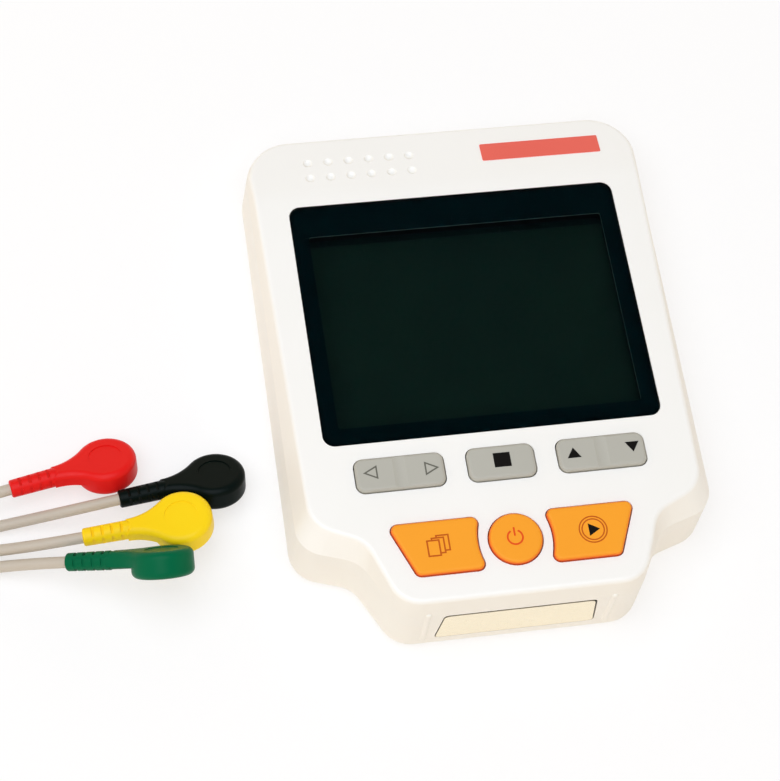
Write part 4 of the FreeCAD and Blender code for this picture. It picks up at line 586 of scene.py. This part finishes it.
def printed_marks():
    """The marks on the keys, each riding on its own key."""
    black = ink("black_key_ink", "0E0C0B")
    grey = ink("grey_key_ink", "6B6B63")
    brown = ink("brown_key_ink", "C25C18")
    red = ink("red_key_ink", "E4521E")
    open_arrows = [line_round(arrow(LEFT_MARK, (-1, 0), OPEN_ARROW_SIZE), ARROW_LINE),
                   line_round(arrow(RIGHT_MARK, (1, 0), OPEN_ARROW_SIZE), ARROW_LINE)]
    arrows = [arrow(UP_MARK, (0, 1), ARROW_SIZE), arrow(DOWN_MARK, (0, -1), ARROW_SIZE)]
    square = rectangle(*STOP_MARK, STOP_MARK_WIDTH, STOP_MARK_HEIGHT)
    rings = [line_round(disc(PLAY_MARK, radius), PLAY_LINE) for radius in PLAY_RING_RADII]
    marks = [
        ("left_right_marks", "left_right_key", "grey_key", open_arrows, grey),
        ("up_down_marks", "up_down_key", "grey_key", arrows, black),
        ("stop_mark", "stop_key", "grey_key", [square], black),
        ("pages_mark", "pages_key", "orange_key", pages_mark(), brown),
        ("power_mark", "power_key", "orange_key", power_mark(), red),
        ("play_rings", "play_key", "orange_key", rings, brown),
        ("play_arrow", "play_key", "orange_key", [play_arrow()], black),
    ]
    for name, key, slot, outlines, material in marks:
        mark = layer(name, outlines, material, on_face, KEY_TOP - INK_DEPTH, KEY_TOP + INK_HEIGHT)
        rides(mark, key, slot)


# ---------------------------------------------------------------- label plate
def label_plate():
    """A bare red plate on the band, with softened edges."""
    form = bmesh.new()
    bmesh.ops.create_cube(form, size=1.0)
    for vertex in form.verts:
        vertex.co = Vector((PLATE_X + vertex.co.x * PLATE_WIDTH, PLATE_UP + vertex.co.y * PLATE_HEIGHT,
                            vertex.co.z * 2 * PLATE_THICKNESS))
    upright = [edge for edge in form.edges if abs(edge.verts[0].co.z - edge.verts[1].co.z) > PLATE_THICKNESS]
    bmesh.ops.bevel(form, geom=upright, offset=PLATE_RADIUS, segments=PLATE_CORNER_STEPS, profile=0.5,
                    affect="EDGES", material=-1)
    rim = [edge for edge in form.edges if min(vertex.co.z for vertex in edge.verts) > 0]
    bmesh.ops.bevel(form, geom=rim, offset=PLATE_EDGE_RADIUS, segments=PLATE_EDGE_STEPS, profile=0.5,
                    affect="EDGES", material=-1)
    for vertex in form.verts:
        vertex.co = on_band(*vertex.co)
    bmesh.ops.recalc_face_normals(form, faces=form.faces)
    # Printed polyester film with a soft gloss.
    red_film = moulded("red_label_film", "EC6E61", "E7675B", roughness=0.35, grain_size=0.5,
                       grain_depth=0.006, specular=0.2)
    rides(made_of("label_plate", form, red_film), "monitor", "red_plastic")


# ---------------------------------------------------------------- end plate
def end_plate(finishes):
    """The bright facing of the end plate, set in a black layer that shows most along its top: a painted
    shadow.
    """
    shadow_seal = [(SHADOW_SEAL_TOP_HALF_WIDTH, SHADOW_SEAL_TOP), (-SHADOW_SEAL_TOP_HALF_WIDTH, SHADOW_SEAL_TOP),
            (-SHADOW_SEAL_BOTTOM_HALF_WIDTH, SHADOW_SEAL_BOTTOM), (SHADOW_SEAL_BOTTOM_HALF_WIDTH, SHADOW_SEAL_BOTTOM)]
    facing = [(math.copysign(abs(x) - SHADOW_SIDE_WIDTH, x), up) for x, up in shadow_seal]
    facing[:2] = [(x, up - SHADOW_TOP_WIDTH) for x, up in facing[:2]]
    layers = [("plate_shadow_seal", "black_foam", shadow_seal, -END_RECESS, -SHADOW_SEAL_DEPTH),
              ("plate_facing", "electrode_metal", facing, -SHADOW_SEAL_DEPTH, -FACING_DEPTH)]
    for name, slot, corners, low, high in layers:
        outline = rounded(corners, END_CORNER_RADIUS)
        rides(layer(name, [outline], finishes[slot], on_end_wall, low, high), "monitor", slot)


# ---------------------------------------------------------------- cords
def cord_curve(name, points, diameter):
    """A smooth round cord along its route, which is in millimetres."""
    line = bpy.data.curves.new(name, "CURVE")
    line.dimensions = "3D"
    line.bevel_depth = diameter / 2 * MM
    line.bevel_resolution = CORD_BEVEL
    line.resolution_u = CORD_STEPS
    line.use_fill_caps = True
    spline = line.splines.new("NURBS")
    spline.points.add(len(points) - 1)
    for target, point in zip(spline.points, points):
        target.co = (*metres(point), 1.0)
    spline.order_u = 3
    spline.use_endpoint_u = True
    return in_scene(name, line)


def snap_leads(sheath):
    """The four leads, each from the yoke to its clip."""
    for shade, route in LEAD_ROUTES.items():
        cord = cord_curve(shade + "_cord", route[::-1], LEAD_DIAMETER)
        cord.data.materials.append(sheath)
        rides(cord, "monitor", "cord_grey", shade + "_lead")


def share_done(turned, start, span):
    """0 up to the start, 1 from a span later, and evenly between."""
    return min(max((turned - start) / span, 0), 1)


def coil_turns():
    """Two and a half turns: one outside, one inside it, and the rest on top of them."""
    middle = (COIL_OUTER_RADIUS + COIL_INNER_RADIUS) / 2
    points = []
    for index in range(int(COIL_TURNS * COIL_POINTS) + 1):
        turned = index * 360 / COIL_POINTS
        inwards = share_done(turned, STEP_IN_START, STEP_IN_SPAN)
        climbed = share_done(turned, CLIMB_START, CLIMB_SPAN)
        radius = COIL_OUTER_RADIUS - (COIL_OUTER_RADIUS - COIL_INNER_RADIUS) * inwards
        radius += (middle - radius) * climbed
        height = COIL_LOW_Z + (COIL_HIGH_Z - COIL_LOW_Z) * climbed
        angle = math.radians(COIL_START - turned)
        points.append((COIL_CENTRE[0] + radius * math.cos(angle), COIL_CENTRE[1] + radius * math.sin(angle),
                       height))
    return points


def trunk(sheath):
    """The common cord from the yoke to the plug, with its spare length put away in a coil."""
    route = TRUNK_START + coil_turns() + TRUNK_END
    cord = cord_curve("trunk_cord", route, TRUNK_DIAMETER)
    cord.data.materials.append(sheath)
    rides(cord, "monitor", "cord_grey", "trunk_cable", "trunk_coil", "trunk_tail")


# ---------------------------------------------------------------- studio
def camera():
    """The camera, which looks down at the monitor from beyond its lower end."""
    view, up = Vector(CAMERA_VIEW).normalized(), Vector(CAMERA_UP).normalized()
    right = view.cross(up).normalized()
    up = right.cross(view)
    lens = bpy.data.cameras.new("camera")
    lens.lens = FOCAL_LENGTH
    lens.sensor_width = SENSOR_WIDTH
    lens.sensor_fit = "HORIZONTAL"
    lens.clip_start = 0.01
    lens.clip_end = 50
    eye = in_scene("camera", lens)
    turn = Matrix((right, up, -view)).transposed().to_4x4()
    eye.matrix_world = Matrix.Translation(metres(CAMERA_PLACE)) @ turn
    bpy.context.scene.camera = eye


def overhead_light():
    """A wide softbox over the table, a little cooler than the room."""
    lamp = bpy.data.lights.new("overhead_light", "AREA")
    lamp.shape = "SQUARE"
    lamp.size = LAMP_SIZE
    lamp.energy = LAMP_POWER
    lamp.color = colour("F1F6FF")[:3]
    place = Vector(LAMP_PLACE)
    turn = (-place).to_track_quat("-Z", "Y").to_matrix().to_4x4()
    in_scene("overhead_light", lamp).matrix_world = Matrix.Translation(place) @ turn


def floor():
    """A wide white table that glows a little, so that the shadows on it are faint.

    From below it is clear, also to the light on what lies close over it, so that the back of the
    monitor can be looked at through it.
    """
    material, tree = new_material("white_table")
    lit = add(tree, "ShaderNodeBsdfDiffuse", {"Color": colour("FEFEFE")})
    glow = add(tree, "ShaderNodeEmission", {"Color": colour("FFFFFF"), "Strength": 1.0})
    ray = add(tree, "ShaderNodeLightPath").outputs
    direct = add(tree, "ShaderNodeMath", {0: ray["Is Camera Ray"], 1: ray["Is Glossy Ray"]},
                 operation="MAXIMUM")
    seen = add(tree, "ShaderNodeMath", {0: direct.outputs["Value"], 1: ray["Is Transmission Ray"]},
               operation="MAXIMUM")
    share = add(tree, "ShaderNodeMath", {0: seen.outputs["Value"], 1: TABLE_GLOW}, operation="MULTIPLY")
    top = add(tree, "ShaderNodeMixShader", {"Fac": share.outputs["Value"], 1: lit.outputs["BSDF"],
                                            2: glow.outputs["Emission"]})
    below = add(tree, "ShaderNodeNewGeometry").outputs["Backfacing"]
    close = add(tree, "ShaderNodeMath", {0: ray["Ray Length"], 1: TABLE_CLEAR_REACH * MM},
                operation="LESS_THAN")
    open_to = add(tree, "ShaderNodeMath", {0: below, 1: close.outputs["Value"]}, operation="MAXIMUM")
    clear = add(tree, "ShaderNodeBsdfTransparent")
    shader = add(tree, "ShaderNodeMixShader", {"Fac": open_to.outputs["Value"], 1: top.outputs["Shader"],
                                               2: clear.outputs["BSDF"]})
    add(tree, "ShaderNodeOutputMaterial", {"Surface": shader.outputs["Shader"]})
    form = bmesh.new()
    bmesh.ops.create_grid(form, x_segments=1, y_segments=1, size=TABLE_SIZE)
    bmesh.ops.translate(form, vec=(0, 0, -TABLE_GAP * MM), verts=form.verts)
    made_of("table", form, material)


def surroundings():
    """A plain studio: warm white walls all round and a dark ceiling."""
    world = bpy.data.worlds.new("studio")
    world.use_nodes = True
    tree = world.node_tree
    tree.nodes.clear()
    direction = add(tree, "ShaderNodeTexCoord").outputs["Generated"]
    height = add(tree, "ShaderNodeSeparateXYZ", {"Vector": direction}).outputs["Z"]
    fade = add(tree, "ShaderNodeMapRange", {"Value": height, "From Min": CEILING_LOW,
                                            "From Max": CEILING_HIGH}, interpolation_type="SMOOTHSTEP")
    tone = add(tree, "ShaderNodeMix", {"Factor": fade.outputs["Result"], MIX_A: colour("FFEACC"),
                                       MIX_B: colour("141C24")}, data_type="RGBA")
    background = add(tree, "ShaderNodeBackground", {"Color": tone.outputs[MIX_RESULT],
                                                    "Strength": ROOM_LIGHT})
    add(tree, "ShaderNodeOutputWorld", {"Surface": background.outputs["Background"]})
    bpy.context.scene.world = world


def studio():
    """The camera, the table, the room and its light."""
    camera()
    floor()
    surroundings()
    overhead_light()
    bpy.context.scene.view_settings.view_transform = "Standard"


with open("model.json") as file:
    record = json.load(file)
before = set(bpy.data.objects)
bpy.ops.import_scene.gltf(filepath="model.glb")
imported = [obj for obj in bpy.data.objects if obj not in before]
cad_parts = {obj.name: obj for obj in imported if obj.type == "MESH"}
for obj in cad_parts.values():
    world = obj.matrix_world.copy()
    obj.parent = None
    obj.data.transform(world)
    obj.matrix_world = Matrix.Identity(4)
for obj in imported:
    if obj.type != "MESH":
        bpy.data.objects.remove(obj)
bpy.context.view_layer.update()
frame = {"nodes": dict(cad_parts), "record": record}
finishes = dress_nodes(frame)
display_window(frame, finishes)
snap_leads(finishes["cord_grey"])
trunk(finishes["cord_grey"])
printed_marks()
label_plate()
end_plate(finishes)
studio()
